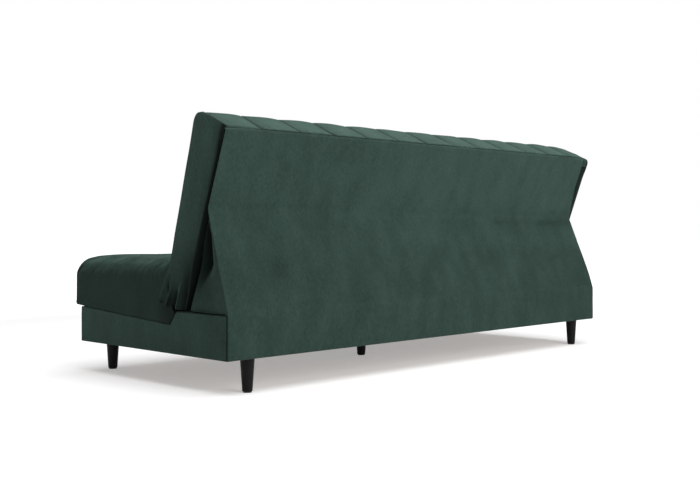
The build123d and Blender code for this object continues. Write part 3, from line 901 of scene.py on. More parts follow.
@dataclass
class Seat:
    """Plain seat cushion with its borders and the tucked corners of its cover."""

    # Side profile
    front: float = -0.420
    front_slope: float = 0.005
    toe: Point = (0.004, 0.006)
    shoulder: float = 0.032
    top: float = 0.383
    rear_rise: float = 0.003
    rear_turn: float = 0.015
    rear_out: float = 0.1138
    under: float = 0.268
    lip: float = -0.399
    lip_turns: tuple[float, ...] = (0.0, 0.002, 0.001, 0.004, 0.0)
    tuck_foot: float = 0.233
    tuck_corner: Point = (0.159, 0.2295)
    tuck_front: float = 0.127
    tuck_turns: tuple[float, ...] = (0.0, 0.005, 0.010, 0.004, 0.0)
    over_counts: tuple[int, ...] = (14, 50, 16)
    below_counts: tuple[int, ...] = (20, 20, 20, 3)
    count: int = 96

    # Crown and rounded ends
    over: Ease = Ease(0.300, 0.385)
    crown_along: float = 0.003
    crown_across: float = 0.006
    crown_middle: float = -0.15
    crown_half: float = 0.27
    uneven: float = 0.0010
    waves: tuple[float, int] = (0.22, 3)
    end_start: float = 0.945
    end_top: float = 0.026
    end_front: float = 0.007
    end_reach: Ease = Ease(0.30, 0.41)
    bulge: float = 0.002
    cap: float = 0.94
    skirt: float = 0.957
    ring_counts: tuple[int, int, int] = (40, 11, 12)

    # Swell of the cover
    held_low: Ease = Ease(0.270, 0.380)
    held_rear: Ease = Ease(-0.020, -0.004)
    held_levels: int = 10
    pressure: float = 4.0
    slack: float = -0.012
    swell_cap: float = 0.008
    swell_steps: int = 20

    # Painted shade: darker down the ends and where the cover tucks in at the rear
    dark: float = 0.65
    dark_low: Ease = Ease(0.330, 0.395)
    dark_end: Ease = Ease(0.955, 0.973)
    tuck_dark: float = 0.24
    tuck_along: Ease = Ease(0.03, 0.14)
    tuck_height: Ease = Ease(0.235, 0.290)

    def profile(self, foot: float, under: Sequence[Point], turns: Sequence[float]) -> Array:
        """Draws one side profile as points that face each other in pairs.

        Args:
            foot: the height where the rear face ends.
            under: the underside's corners from the rear to the front.
            turns: the radius at each corner of the underside and at its two ends.

        Returns:
            The profile's points in Y and Z.
        """
        peak = self.top + self.rear_rise
        low = seat_under(self.front)
        start = (on_front(self.rear_out, foot)[0], foot)
        nose = (self.front, low + self.toe[1])
        upper = [(on_front(self.rear_out, peak)[0], peak), (self.front + self.front_slope, self.top), nose]
        lower = [*under, (self.front + self.toe[0], low), nose]
        radii = (0.0, self.rear_turn, self.shoulder, 0.0)
        over = rounded([start, *upper], radii, self.over_counts, closed=False)
        below = rounded([start, *lower], turns, self.below_counts, closed=False)
        return paired(over, below, self.count)

    def profiles(self) -> tuple[Array, Array]:
        """Draws the side profile: open underneath inside, and full with the rear tuck at the ends.

        Returns:
            The inner and the outer profile.
        """
        lip = [(self.lip, self.under), (self.lip, seat_under(self.lip))]
        tuck = [self.tuck_corner, (self.tuck_front, seat_under(self.tuck_front))]
        inside = self.profile(self.under, lip, self.lip_turns)
        outside = self.profile(self.tuck_foot, tuck, self.tuck_turns)
        return inside, outside

    def build(self) -> Piece:
        """Builds the cushion as rings along the sofa, rounded over at both ends.

        Returns:
            The cushion.
        """
        inside, outside = self.profiles()
        straight, turned, capped = self.ring_counts
        turn = np.radians(np.linspace(0.0, 90.0, turned))
        reach = HALF - self.end_start
        stations = [(float(x), 0.0, 1.0) for x in np.linspace(0.0, self.end_start, straight)[:-1]]
        stations += [(self.end_start + reach * math.sin(step), 1.0 - math.cos(step), 1.0) for step in turn]
        sizes = np.linspace(self.cap, 0.0, capped)
        stations += [(HALF + self.bulge * (1.0 - size * size), 1.0, size) for size in sizes]
        half = []
        for x, share, size in stations:
            half.append(self.ring(x, share, size, inside if x < self.skirt else outside))
        rings = [ring * MIRRORED for ring in reversed(half[1:])] + half
        piece = panel("seat_upholstery", np.array(rings), wrap=True)
        self.fill_out(piece)
        soften(piece, CUSHION_ANGLE)
        return piece

    def fill_out(self, piece: Piece) -> None:
        """Lets the padding press the cover out in a short cloth simulation, held along its low edges.

        Args:
            piece: the cushion, changed in place.
        """
        start = points(piece)
        rear = start[:, 1] - on_front(self.rear_out, start[:, 2])[0]
        firm = np.maximum(self.held_low.down(start[:, 2]), self.held_rear.up(rear))
        group = piece.vertex_groups.new(name="held")
        for level in range(1, self.held_levels + 1):
            chosen = np.flatnonzero(np.rint(firm * self.held_levels) == level)
            group.add(chosen.tolist(), level / self.held_levels, "REPLACE")
        choose(piece)
        cloth = piece.modifiers.new("cover", "CLOTH")
        cloth.settings.quality = 6
        cloth.settings.use_pressure = True
        cloth.settings.uniform_pressure_force = self.pressure
        cloth.settings.effector_weights.gravity = 0.0
        cloth.settings.shrink_min = self.slack
        cloth.settings.vertex_group_mass = "held"
        scene = bpy.context.scene
        for step in range(1, self.swell_steps + 1):
            scene.frame_set(step)
        bpy.ops.object.modifier_apply(modifier=cloth.name)
        scene.frame_set(1)
        moved = points(piece) - start
        far = np.linalg.norm(moved, axis=1)
        kept = self.swell_cap * np.tanh(far / self.swell_cap) / np.maximum(far, TINY)
        place_points(piece, start + moved * kept[:, None])
        piece.vertex_groups.clear()
        log.info("seat cover swelled by %.1f mm, kept to %.1f mm", far.max() * 1e3, self.swell_cap * 1e3)

    def ring(self, x: float, share: float, size: float, profile: Array) -> Array:
        """Places one ring of the cushion.

        Args:
            x: the ring's place along the sofa.
            share: how far the end rounding has drawn it in.
            size: how much of its height is left between its paired points.
            profile: its points in Y and Z.

        Returns:
            The ring's points.
        """
        ring = profile.copy()
        over = self.over.up(profile[:, 1])
        ring[:, 0] += share * self.end_front * self.end_reach.up(-profile[:, 0])
        swell = self.crown_across * (1.0 - ((profile[:, 0] - self.crown_middle) / self.crown_half) ** 2)
        ring[:, 1] += over * (swell - self.crown_along * (abs(x) / HALF) ** 3 - share * self.end_top)
        ring = narrowed(ring, size)
        placed = np.stack([np.full(len(ring), x), ring[:, 0], ring[:, 1]], 1)
        placed[:, 2] += over * self.uneven * ripple(placed, *self.waves) * size
        return placed

    def nap(self, places: Array) -> Array:
        """Gives the painted shade: darker down the ends below the top edge, most low at the rear where the
        cover tucks in.

        Args:
            places: the cushion's points, one row each.

        Returns:
            One share of the full tone per point.
        """
        tucked = self.tuck_along.up(places[:, 1]) * self.tuck_height.down(places[:, 2])
        dark = (self.dark + self.tuck_dark * tucked) * self.dark_low.down(places[:, 2])
        return 1.0 - dark * self.dark_end.up(np.abs(places[:, 0]))

    def finish(self) -> None:
        """Builds the cushion, dresses it and hands it to the frame."""
        piece = self.build()
        dress(piece, Slot.VELVET, self.nap)
        borders = [f"seat_border_{side}" for side in ("left", "right")]
        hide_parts("seat_cushion", "seat_border_front", "seat_tucks", *borders)
        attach(piece, Body.SEAT.value)
        report(piece)


@dataclass(frozen=True)
class Gather:
    """One fold of an end's cover: its place and slope across the end, its width, depth and reach."""

    place: float
    slope: float
    width: float
    depth: float
    reach: float


@dataclass
class Backrest:
    """Channelled backrest pad and its two upholstered ends."""

    # Side profile
    face: float = 0.106
    low_end: float = 0.064
    top: float = 0.541
    rear_top: float = 0.530
    rear: float = 0.0100
    uneven: float = 0.0010

    # Channels
    pitch: float = 0.150
    depth: float = 0.009
    fullness: float = 2.2
    crease: float = 0.003
    crease_width: float = 0.0035
    last_seam: float = 0.825
    last_depth: float = 0.4
    channel_rings: int = 15

    # Pad
    pad_rear: float = 0.0080
    pad_inner: float = 0.046
    pad_lap: float = 0.036
    pad_turns: tuple[float, ...] = (0.004, 0.036, 0.038, 0.013, 0.004, 0.006)
    pad_counts: tuple[int, ...] = (6, 60, 18, 5, 8, 20)
    pad_waves: tuple[float, int] = (0.13, 11)
    on_face: Ease = Ease(0.060, 0.095)
    on_top: Ease = Ease(0.502, 0.522)
    top_turn: Ease = Ease(0.44, 0.51)
    top_flat: float = 0.76
    top_depth: float = 0.32
    pucker: float = 0.0016
    pucker_pitch: float = 0.031
    pucker_drift: float = 9.0
    pucker_rear: Ease = Ease(-0.06, -0.01)
    pucker_top: Ease = Ease(0.48, 0.51)

    # Seam between the pad and an end
    seam_x: float = 0.945
    mitre: float = 0.0235
    mitre_across: Ease = Ease(0.0, 0.30)
    mitre_up: Ease = Ease(0.44, 0.50)

    # Ends
    clear: float = 0.0037
    foot_in: float = 0.004
    peak: Point = (-0.055, 0.003)
    front_turns: tuple[float, ...] = (0.0, 0.010, 0.038, 0.0)
    rear_turns: tuple[float, ...] = (0.0, 0.012, 0.016, 0.0)
    end_counts: tuple[int, ...] = (10, 80, 10)
    count: int = 130
    lap_rings: Point = (-1.5, -0.15)
    lap_end: float = 0.90
    turn_rings: int = 12
    cap_rings: int = 20
    cap: float = 0.96
    cap_out: float = 0.05
    bulge: float = 0.03
    front_roll: float = 0.005
    rear_roll: Point = (0.052, 0.008)
    rear_roll_rise: Ease = Ease(0.26, 0.42)
    rear_roll_least: float = 0.35
    low_roll: float = 0.005
    low_roll_reach: float = 0.09
    seam_dip: float = 0.003
    seam_dip_width: float = 0.12
    sewn: Ease = Ease(0.80, 0.95)
    tuck_high: Ease = Ease(0.494, 0.502)
    tuck_front: Ease = Ease(0.2, 0.6)
    tuck_rear: Ease = Ease(0.5, 0.9)
    tuck_in: Point = (0.007, 0.004)
    tuck_down: float = 0.020

    # Gathers and the drawn-out low corner of an end
    end_waves: tuple[float, int] = (0.12, 23)
    gathers: tuple[Gather, ...] = (
        Gather(0.15, 0.5, 0.055, -0.016, 0.13),
        Gather(0.29, 0.9, 0.050, 0.006, 0.10),
        Gather(0.47, 0.3, 0.060, -0.018, 0.09),
        Gather(0.68, -0.2, 0.060, 0.006, 0.13),
        Gather(0.88, -0.5, 0.080, -0.014, 0.18),
    )
    flare_across: Ease = Ease(0.05, 0.45)
    flare_height: Ease = Ease(0.05, 0.17)
    flare_out: Ease = Ease(0.88, 1.0)
    flare_by: Point = (0.008, -0.014)

    # Painted shade on the ends: the rear roll, the low folds, the low front corner and the seam
    outer_x: Ease = Ease(0.945, 0.955)
    outer_rear: Ease = Ease(0.85, 0.95)
    rear_fade: Ease = Ease(0.55, 0.85)
    rear_fade_dark: float = 0.28
    rear_roll_in: Ease = Ease(0.825, 0.88)
    rear_roll_dark: float = 0.66
    low_fade: Ease = Ease(0.28, 0.60)
    low_dark: float = 0.44
    low_across: Ease = Ease(0.3, 0.8)
    low_across_dark: float = 0.26
    valley_depth: float = 0.014
    valley_dark: float = 0.70
    corner_across: Ease = Ease(0.32, 0.46)
    corner_height: Ease = Ease(0.03, 0.12)
    corner_edge: Ease = Ease(0.04, 0.14)
    corner_foot: Ease = Ease(0.020, 0.045)
    corner_dark: float = 0.85
    seam_line_width: float = 0.0032
    seam_line_dark: float = 0.66

    # Painted light and shade on the pad: lighter crowns, darker channels, creases and rear
    pad_over: Ease = Ease(0.47, 0.51)
    crown_light: float = 0.14
    crown_dark: float = 0.34
    pad_rear_fade: Ease = Ease(0.92, 0.985)
    pad_rear_dark: float = 0.40
    crease_dark: Point = (0.35, 0.25)

    def channel(self, x: float) -> Point:
        """Finds how deep the channels lie at a place along the sofa.

        Args:
            x: the place.

        Returns:
            How far the pad lies below its crown, and the depth of the stitched crease.
        """
        place = abs(x)
        last = self.seam_x - self.last_seam
        if place <= self.last_seam:
            share = ((place + self.pitch / 2.0) / self.pitch) % 1.0
            gap = min(share, 1.0 - share) * self.pitch
        else:
            share = (place - self.last_seam) / last
            gap = share * last
        sewn = self.last_depth if place > self.last_seam and share > 0.5 else 1.0
        sunk = sewn * self.depth * abs(2.0 * share - 1.0) ** self.fullness
        edge = (self.seam_x - place) if sewn < 1.0 else gap
        return sunk, sewn * self.crease * math.exp(-((edge / self.crease_width) ** 2))

    def depth_share(self, ring: Array) -> Array:
        """Gives how far each point lies from the front face to the back face, from 0 to 1."""
        front = on_front(self.face, ring[:, 1])[0]
        return (ring[:, 0] - front) / (on_back(self.rear, ring[:, 1])[0] - front)

    def seam(self, ring: Array) -> Array:
        """Finds where the seam between the pad and an end runs: out to the edge over the top.

        Args:
            ring: points in Y and Z.

        Returns:
            The seam's place along X beside each point.
        """
        up = from_hinge(ring, BACK_UP)
        across = self.mitre_across.up(self.depth_share(ring))
        return self.seam_x + self.mitre * across * self.mitre_up.up(up)

    def squeeze(self, ring: Array, share: float, side: Side) -> Array:
        """Draws a side profile in at its front, rear and low edges.

        Args:
            ring: points in Y and Z.
            share: how far the edges are drawn in, from 0 to 1.
            side: which end.

        Returns:
            The smaller profile.
        """
        place = self.depth_share(ring)
        rise = self.rear_roll_rise.up(ring[:, 1])
        roll = self.rear_roll[side] * (self.rear_roll_least + (1.0 - self.rear_roll_least) * rise)
        low = 1.0 - smooth(ring[:, 1], BASE_TOP, BASE_TOP + self.low_roll_reach)
        drawn = ring.copy()
        drawn[:, 0] += share * (self.front_roll * (1.0 - place) - roll * place)
        drawn[:, 1] += share * self.low_roll * low
        return drawn

    def lower(self, ring: Array, x: float) -> Array:
        """Drops the top of a ring towards the ends.

        Args:
            ring: points in Y and Z.
            x: the ring's place along the sofa.

        Returns:
            The lowered ring.
        """
        drop = DROOP_UP.up(from_hinge(ring, BACK_UP)) * end_fall(x)
        return ring - drop[:, None] * np.array(BACK_UP)

    def stations(self) -> list[float]:
        """Lists the pad's rings, closer together at the seams.

        Returns:
            The rings' places along the sofa.
        """
        count = round(self.last_seam / self.pitch - 0.5)
        seams = [self.pitch * (place + 0.5) for place in range(-count - 1, count + 1)]
        seams = [-self.seam_x, *seams, self.seam_x]
        share = 0.5 - 0.5 * np.cos(np.linspace(0.0, math.pi, self.channel_rings)[:-1])
        places = [a + (b - a) * s for a, b in zip(seams, seams[1:]) for s in share]
        return [float(place) for place in (*places, self.seam_x)]

    def pad(self) -> Piece:
        """Builds the channelled pad, up the front, round the top edge and back to the top seam.

        Returns:
            The pad.
        """
        corners = [
            front_point(self.pad_inner, -self.low_end),
            front_point(self.face, -self.low_end),
            front_to_top(self.face, self.top),
            back_point(self.pad_rear, self.rear_top),
            back_point(self.pad_rear, self.rear_top - self.pad_lap),
            front_to_top(self.pad_inner, self.rear_top - self.pad_lap),
        ]
        profile = rounded(corners, self.pad_turns, self.pad_counts)
        out = outward(profile)
        up = from_hinge(profile, BACK_UP)
        on_face = self.on_face.up(from_hinge(profile, FRONT_OUT))
        on_top = self.on_top.up(up)
        stitched = np.maximum(on_face, on_top)
        weight = np.maximum(on_face * (1.0 - self.top_flat * self.top_turn.up(up)), self.top_depth * on_top)
        pucker = self.pucker * self.pucker_rear.up(from_hinge(profile, BACK_OUT)) * self.pucker_top.up(up)
        skew = self.seam(profile) - self.seam_x
        rings = []
        for x in self.stations():
            sunk, crease = self.channel(x)
            ring = self.lower(profile - out * (weight * sunk + stitched * crease)[:, None], x)
            out_share = max(abs(x) - self.last_seam, 0.0) / (self.seam_x - self.last_seam)
            placed = np.stack([x + math.copysign(out_share, x) * skew, ring[:, 0], ring[:, 1]], 1)
            wave = math.sin(x * 2.0 * math.pi / self.pucker_pitch) * math.sin(x * self.pucker_drift)
            placed[:, 2] += pucker * wave
            placed[:, 2] += stitched * self.uneven * ripple(placed, *self.pad_waves)
            rings.append(placed)
        piece = panel("backrest_channels", np.array(rings), wrap=True)
        soften(piece, CLOTH_ANGLE)
        return piece

    def end_profile(self) -> Array:
        """Draws the side profile of an end as points that face each other in pairs.

        Returns:
            The profile's points in Y and Z.
        """
        low = (BASE_TOP + self.clear - HINGE[1] + self.low_end * FRONT_UP[1]) / FRONT_OUT[1]
        foot = front_point(low + self.foot_in, -self.low_end)
        peak = back_point(self.peak[0], self.top - self.peak[1])
        front_line = [foot, front_point(self.face, -self.low_end), front_to_top(self.face, self.top), peak]
        heel = on_back(self.rear, BASE_TOP + self.clear)
        rear_line = [foot, heel, back_point(self.rear, self.rear_top), peak]
        return paired(
            rounded(front_line, self.front_turns, self.end_counts, closed=False),
            rounded(rear_line, self.rear_turns, self.end_counts, closed=False),
            self.count,
        )

    def end_stations(self) -> list[Spot]:
        """Lists the rings of an end, from the lap under the pad out to the middle of the end.

        Returns:
            How far out each ring lies, how far the rounding has come, and how wide the ring still is.
        """
        turn = np.radians(np.linspace(0.0, 90.0, self.turn_rings))
        sizes = np.linspace(self.cap, 0.0, self.cap_rings)
        stations = [(along, 0.0, 1.0) for along in self.lap_rings]
        stations += [(s, 1.0 - c, 1.0) for s, c in zip(np.sin(turn), np.cos(turn))]
        stations += [(1.0 + self.cap_out * (1.0 - size * size), 1.0, size) for size in sizes]
        return stations

    def end(self, side: Side) -> Piece:
        """Builds one end: the full side profile, rolled over at its edges.

        Args:
            side: which end.

        Returns:
            The padded end.
        """
        sign = 1.0 if side is Side.LEFT else -1.0
        profile = self.end_profile()
        start = self.seam(profile)
        sewn = self.sewn.down(self.depth_share(profile))
        out = outward(profile)
        tuck = self.tuck(profile)
        rings = []
        for along, share, size in self.end_stations():
            dip = self.seam_dip * math.exp(-((along / self.seam_dip_width) ** 2))
            ring = self.squeeze(profile - out * (dip * sewn)[:, None], share, side)
            ring = self.lower(ring, sign * min(self.seam_x + (HALF - self.seam_x) * along, HALF))
            ring = narrowed(ring, size) + (tuck if along < 0.0 else 0.0)
            x = start + (HALF - start) * min(along, 1.0) + self.bulge * max(along - 1.0, 0.0)
            x = np.minimum(x, self.lap_end) if along < -1.0 else x
            placed = np.stack([x, ring[:, 0], ring[:, 1]], 1)
            placed[:, 0] += self.folds(placed, share)
            self.flare(placed, share)
            rings.append(placed * np.array([sign, 1.0, 1.0]))
        piece = panel(f"backrest_end_{side.name.lower()}", np.array(rings), wrap=True)
        soften(piece, CLOTH_ANGLE)
        return piece

    def tuck(self, profile: Array) -> Array:
        """Finds how an end's inner edge is drawn in so that the pad lies over it.

        Args:
            profile: the end's points in Y and Z.

        Returns:
            How far each point moves in Y and Z.
        """
        high = self.tuck_high.up(from_hinge(profile, BACK_UP))
        depth = self.depth_share(profile)
        front, rear = self.tuck_in
        inward = front * self.tuck_front.down(depth) - rear * high * self.tuck_rear.up(depth)
        return inward[:, None] * np.array(BACK_OUT) - (self.tuck_down * high)[:, None] * np.array(BACK_UP)

    def folds(self, placed: Array, share: float) -> Array:
        """Gathers the cover of an end into folds at its low corner.

        Args:
            placed: a ring's points.
            share: how far the end rounding has come.

        Returns:
            How far each point moves along X.
        """
        height = placed[:, 2] - BASE_TOP
        across = self.depth_share(placed[:, 1:])
        moved = self.uneven * ripple(placed, *self.end_waves)
        for gather in self.gathers:
            fade = 1.0 - smooth(height, gather.reach / 4.0, gather.reach)
            away = (across - gather.place - gather.slope * height) / gather.width
            moved += gather.depth * fade * np.exp(-(away**2))
        return share * moved

    def flare(self, placed: Array, share: float) -> None:
        """Draws the low front corner of an end out over the seat's side.

        Args:
            placed: a ring's points, changed in place.
            share: how far the end rounding has come.
        """
        near = self.flare_across.down(self.depth_share(placed[:, 1:]))
        near *= self.flare_height.down(placed[:, 2] - BASE_TOP) * float(self.flare_out.up(share))
        placed[:, 0] += self.flare_by[0] * near
        placed[:, 1] += self.flare_by[1] * near

    def nap(self, places: Array) -> Array:
        """Gives the painted shade on an end: dark where it rolls in at the rear, low down, in its folds and
        at its low front corner.

        Args:
            places: the end's points, one row each.

        Returns:
            One share of the full tone per point.
        """
        across = self.depth_share(places[:, 1:])
        height = places[:, 2] - BASE_TOP
        outer = np.maximum(self.outer_x.up(np.abs(places[:, 0])), self.outer_rear.up(across))
        rear = self.rear_fade_dark * self.rear_fade.up(across)
        rear += self.rear_roll_dark * self.rear_roll_in.up(across)
        low = self.low_dark + self.low_across_dark * self.low_across.up(across)
        low *= self.low_fade.down(places[:, 2])
        valley = self.valley_dark * np.clip(-self.folds(places, 1.0) / self.valley_depth, 0.0, 1.0)
        corner = self.corner_across.down(across) * self.corner_height.down(height)
        corner *= np.maximum(self.corner_edge.up(across), self.corner_foot.down(height))
        light = (1.0 - low) * (1.0 - valley) * (1.0 - self.corner_dark * corner)
        return (1.0 - outer * np.maximum(rear, 1.0 - light)) * self.seam_line(places)

    def seam_line(self, places: Array) -> Array:
        """Gives the painted shade in the crease along the seam between the pad and an end."""
        away = (np.abs(places[:, 0]) - self.seam(places[:, 1:])) / self.seam_line_width
        return 1.0 - self.seam_line_dark * np.exp(-(away**2))

    def pad_painted_shading(self, places: Array) -> Array:
        """Gives the painted light and shade on the pad: lighter on each crown, dark in the channels, along
        the stitched seams and towards the rear.

        Args:
            places: the pad's points, one row each.

        Returns:
            One share of the full tone per point.
        """
        over = self.pad_over.up(from_hinge(places[:, 1:], BACK_UP))
        sunk, crease = np.array([self.channel(float(x)) for x in places[:, 0]]).T
        crown = 1.0 + over * (self.crown_light - self.crown_dark * sunk / self.depth)
        stitched = 1.0 - (self.crease_dark[0] + self.crease_dark[1] * over) * crease / self.crease
        rear = 1.0 - self.pad_rear_dark * self.pad_rear_fade.up(self.depth_share(places[:, 1:]))
        return crown * stitched * rear * self.seam_line(places)

    def finish(self) -> None:
        """Builds the backrest's padded pieces, dresses them and hands them to the frame."""
        pad = self.pad()
        left, right = self.end(Side.LEFT), self.end(Side.RIGHT)
        for piece, node in ((pad, "back_pad"), (left, "back_end_left"), (right, "back_end_right")):
            dress(piece, Slot.VELVET, self.pad_painted_shading if piece is pad else self.nap)
            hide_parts(node)
            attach(piece, Body.BACKREST.value)
            report(piece)


@dataclass
class RearCloth:
    """One cloth from the top seam over the waist to the foot of the box, with a gusset at each end."""

    # Fall of the cloth
    tail: float = 0.0127
    waist_up: float = 0.276
    top_up: float = 0.528
    rear: float = 0.415
    seam_turn: Point = (0.007, 0.003)
    knee: float = 0.002
    lap: float = 0.028
    turns: tuple[float, ...] = (0.0, 0.006, 0.036, 0.050, 0.006, 0.0)
    counts: tuple[int, ...] = (1, 34, 44, 14, 2)
    thickness: float = 0.0025

    # Reach of the cloth on the left and right
    waist_half: Point = (0.973, 0.960)
    top_half: Point = (0.973, 0.926)
    narrow_from: float = 0.05
    narrow_over: Point = (0.02, 0.12)
    columns: int = 150
    bunching: float = 1.29

    # Hems and gussets
    hem: float = 0.009
    low_hem: float = 0.017
    low_hem_rise: float = 0.003
    hem_slack: float = 0.001
    gusset_columns: int = 24
    gusset_clear: float = 0.007
    gusset_foot: float = 0.2375
    gusset_wide: float = 0.060
    pocket: Point = (0.006, 0.040)
    pocket_share: float = 0.36
    pocket_rise: Ease = Ease(0.05, 0.20)
    pocket_in: Ease = Ease(0.20, 0.76)
    pocket_out: Ease = Ease(0.78, 0.93)
    pocket_left: float = 0.06
    tuck: float = 0.085
    tuck_in: Ease = Ease(0.94, 1.0)
    crumple: float = 0.004
    crumple_in: float = 7.0
    crumple_up: float = 22.0
    edge_turn: Point = (0.005, 0.0019)
    edge_turn_in: float = 0.007

    # Slip of the waist and unevenness
    waist_slip: float = 0.018
    slip_over: Ease = Ease(0.0, 0.20)
    slip_under: Ease = Ease(0.0, 0.26)
    loose_across: Ease = Ease(0.0, 0.05)
    loose_up: Ease = Ease(0.12, 0.20)
    uneven: Point = (0.0012, 0.0005)
    waves: tuple[tuple[float, int], tuple[float, int]] = ((0.24, 31), (0.07, 33))

    # Painted shade in the gussets, along their seams, in the hems and under the top seam
    gusset_dark: Point = (0.86, 0.10)
    gusset_dark_rise: Ease = Ease(0.12, 0.20)
    gusset_dark_in: Ease = Ease(0.15, 0.72)
    gusset_lit: float = 0.5
    gusset_lit_in: Ease = Ease(0.74, 1.0)
    gusset_edge: Ease = Ease(0.006, 0.020)
    gusset_rise: Ease = Ease(-0.02, 0.15)
    sewn_dark: float = 0.32
    sewn_place: float = 0.005
    sewn_width: float = 0.004
    sewn_from: Ease = Ease(0.004, 0.020)
    sewn_to: Ease = Ease(0.12, 0.22)
    hem_dark: float = 0.92
    hem_in: Ease = Ease(0.006, 0.010)
    hem_up: Ease = Ease(0.000, 0.006)
    seam_dark: float = 0.50
    seam_below: Point = (0.007, 0.002)

    # Painted light and shade down the back: lighter towards the top, darker low down and at the sides
    painted_low: float = 0.70
    painted_middle: float = 0.09
    painted_middle_up: Ease = Ease(0.30, 0.38)
    painted_high: float = 0.17
    painted_high_up: Ease = Ease(0.48, 0.58)
    painted_full: float = 1.04
    left_dark: float = 0.13
    left_along: Ease = Ease(0.1, 0.6)
    left_up: Ease = Ease(0.28, 0.36)
    right_dark: float = 0.10
    right_along: Ease = Ease(0.4, 0.8)
    right_up: Ease = Ease(0.25, 0.40)

    # What the cloth was cut from
    gusset_flat: float = 0.20
    gusset_area: float = 0.035
    blend_end: float = 0.88

    def waist(self) -> Point:
        """Gives the waist's Y and Z."""
        return back_point(self.tail, self.waist_up)

    def path(self) -> Array:
        """Draws the cloth's fall from the top seam to under the box.

        Returns:
            Points in Y and Z, one row each.
        """
        corners = [
            back_point(self.tail - self.seam_turn[0], self.top_up - self.seam_turn[1]),
            back_point(self.tail, self.top_up),
            self.waist(),
            (self.rear, BASE_TOP + self.knee),
            (self.rear, BASE_FOOT),
            (self.rear - self.lap, BASE_FOOT),
        ]
        return rounded(corners, self.turns, self.counts, closed=False)

    def edge_depth(self, spot: Array) -> float:
        """Finds how far forward the cloth turns in at its end, at one height.

        Args:
            spot: the cloth's Y and Z at that height.

        Returns:
            The depth.
        """
        y, z = float(spot[0]), float(spot[1])
        if z >= self.waist()[1]:
            return self.hem
        if z <= self.gusset_foot:
            return self.low_hem * min((z - BASE_FOOT) / self.low_hem_rise, 1.0)
        return max(self.hem, y - on_back(self.tail, z)[0] - self.gusset_clear)

    def gusset(self, spot: Array, share: float) -> Spot:
        """Places a point of the left gusset, which folds in between the backrest and the cloth.

        Args:
            spot: the cloth's Y and Z at that height.
            share: how far forward the point lies, from 0 to 1.

        Returns:
            The point.
        """
        y, z = float(spot[0]), float(spot[1])
        depth = self.edge_depth(spot)
        wide = float(smooth(depth, self.hem, self.gusset_wide))
        deep = self.pocket[0] + self.pocket[1] * float(self.pocket_rise.up(z - BASE_TOP))
        pocket = float(self.pocket_in.up(share)) * min(deep, self.pocket_share * depth)
        pocket *= 1.0 - (1.0 - self.pocket_left) * float(self.pocket_out.up(share))
        pocket += self.tuck * float(self.tuck_in.up(share))
        pocket += self.crumple * math.sin(share * self.crumple_in + z * self.crumple_up) * share
        turn = self.edge_turn[0 if z > self.gusset_foot else 1]
        quarter = min(share * depth / self.edge_turn_in, 1.0) * math.pi / 2.0
        return (HALF - turn * (1.0 - math.cos(quarter)) - pocket * wide, y - share * depth, z)

    def half(self, spot: Array, side: Side) -> float:
        """Gives how far the cloth reaches at one height, a little less above the waist.

        Args:
            spot: the cloth's Y and Z at that height.
            side: which end.

        Returns:
            The reach from the middle.
        """
        waist = self.waist()[1]
        top = back_point(self.tail, self.top_up)[1]
        below, above = self.narrow_over
        heights = (BASE_TOP + self.narrow_from, waist - below, waist + above, top)
        upper = self.top_half[side]
        return float(np.interp(spot[1], heights, (HALF, self.waist_half[side], upper, upper)))

    def build(self) -> Piece:
        """Builds the cloth as a grid, with the gussets as its outer columns.

        Returns:
            The cloth.
        """
        shares = np.linspace(0.0, 1.0, self.gusset_columns + 1)[1:]
        turns = np.linspace(-1.0, 1.0, self.columns) * self.bunching
        across = np.sin(turns) / math.sin(self.bunching)
        rows = []
        for spot in self.path():
            y, z = float(spot[0]), float(spot[1])
            gusset = [self.gusset(spot, share) for share in shares]
            left, right = (self.half(spot, side) for side in Side)
            row = [(HALF - right - point[0], *point[1:]) for point in reversed(gusset)]
            row += [(float(x) * (left if x > 0.0 else right), y, z) for x in across]
            row += [(point[0] - HALF + left, *point[1:]) for point in gusset]
            rows.append(row)
        placed = np.array(rows, float)
        self.settle(placed)
        piece = panel("rear_cloth", placed, wrap=False)
        stitch_modifier(piece, "SOLIDIFY", thickness=self.thickness, offset=-1.0)
        soften(piece, CLOTH_ANGLE)
        return piece

    def settle(self, placed: Array) -> None:
        """Lets the cloth droop at its top corners and lie a little unevenly.

        Args:
            placed: the grid's points, changed in place.
        """
        flat = placed.reshape(-1, 3)
        up = from_hinge(flat[:, 1:], BACK_UP)
        drop = end_fall(flat[:, 0]) * DROOP_UP.up(up)
        near = self.slip_over.down(up - self.waist_up) * self.slip_under.down(self.waist()[1] - flat[:, 2])
        drop += self.waist_slip * near * smooth(-flat[:, 0], -HALF, HALF)
        flat[:, 1] -= drop * BACK_UP[0]
        flat[:, 2] -= drop * BACK_UP[1]
        inner = self.loose_across.up(HALF - np.abs(flat[:, 0])) * self.loose_up.up(flat[:, 2])
        broad, small = (by * ripple(flat, *waves) for by, waves in zip(self.uneven, self.waves))
        flat[:, 1] += inner * (broad + small)

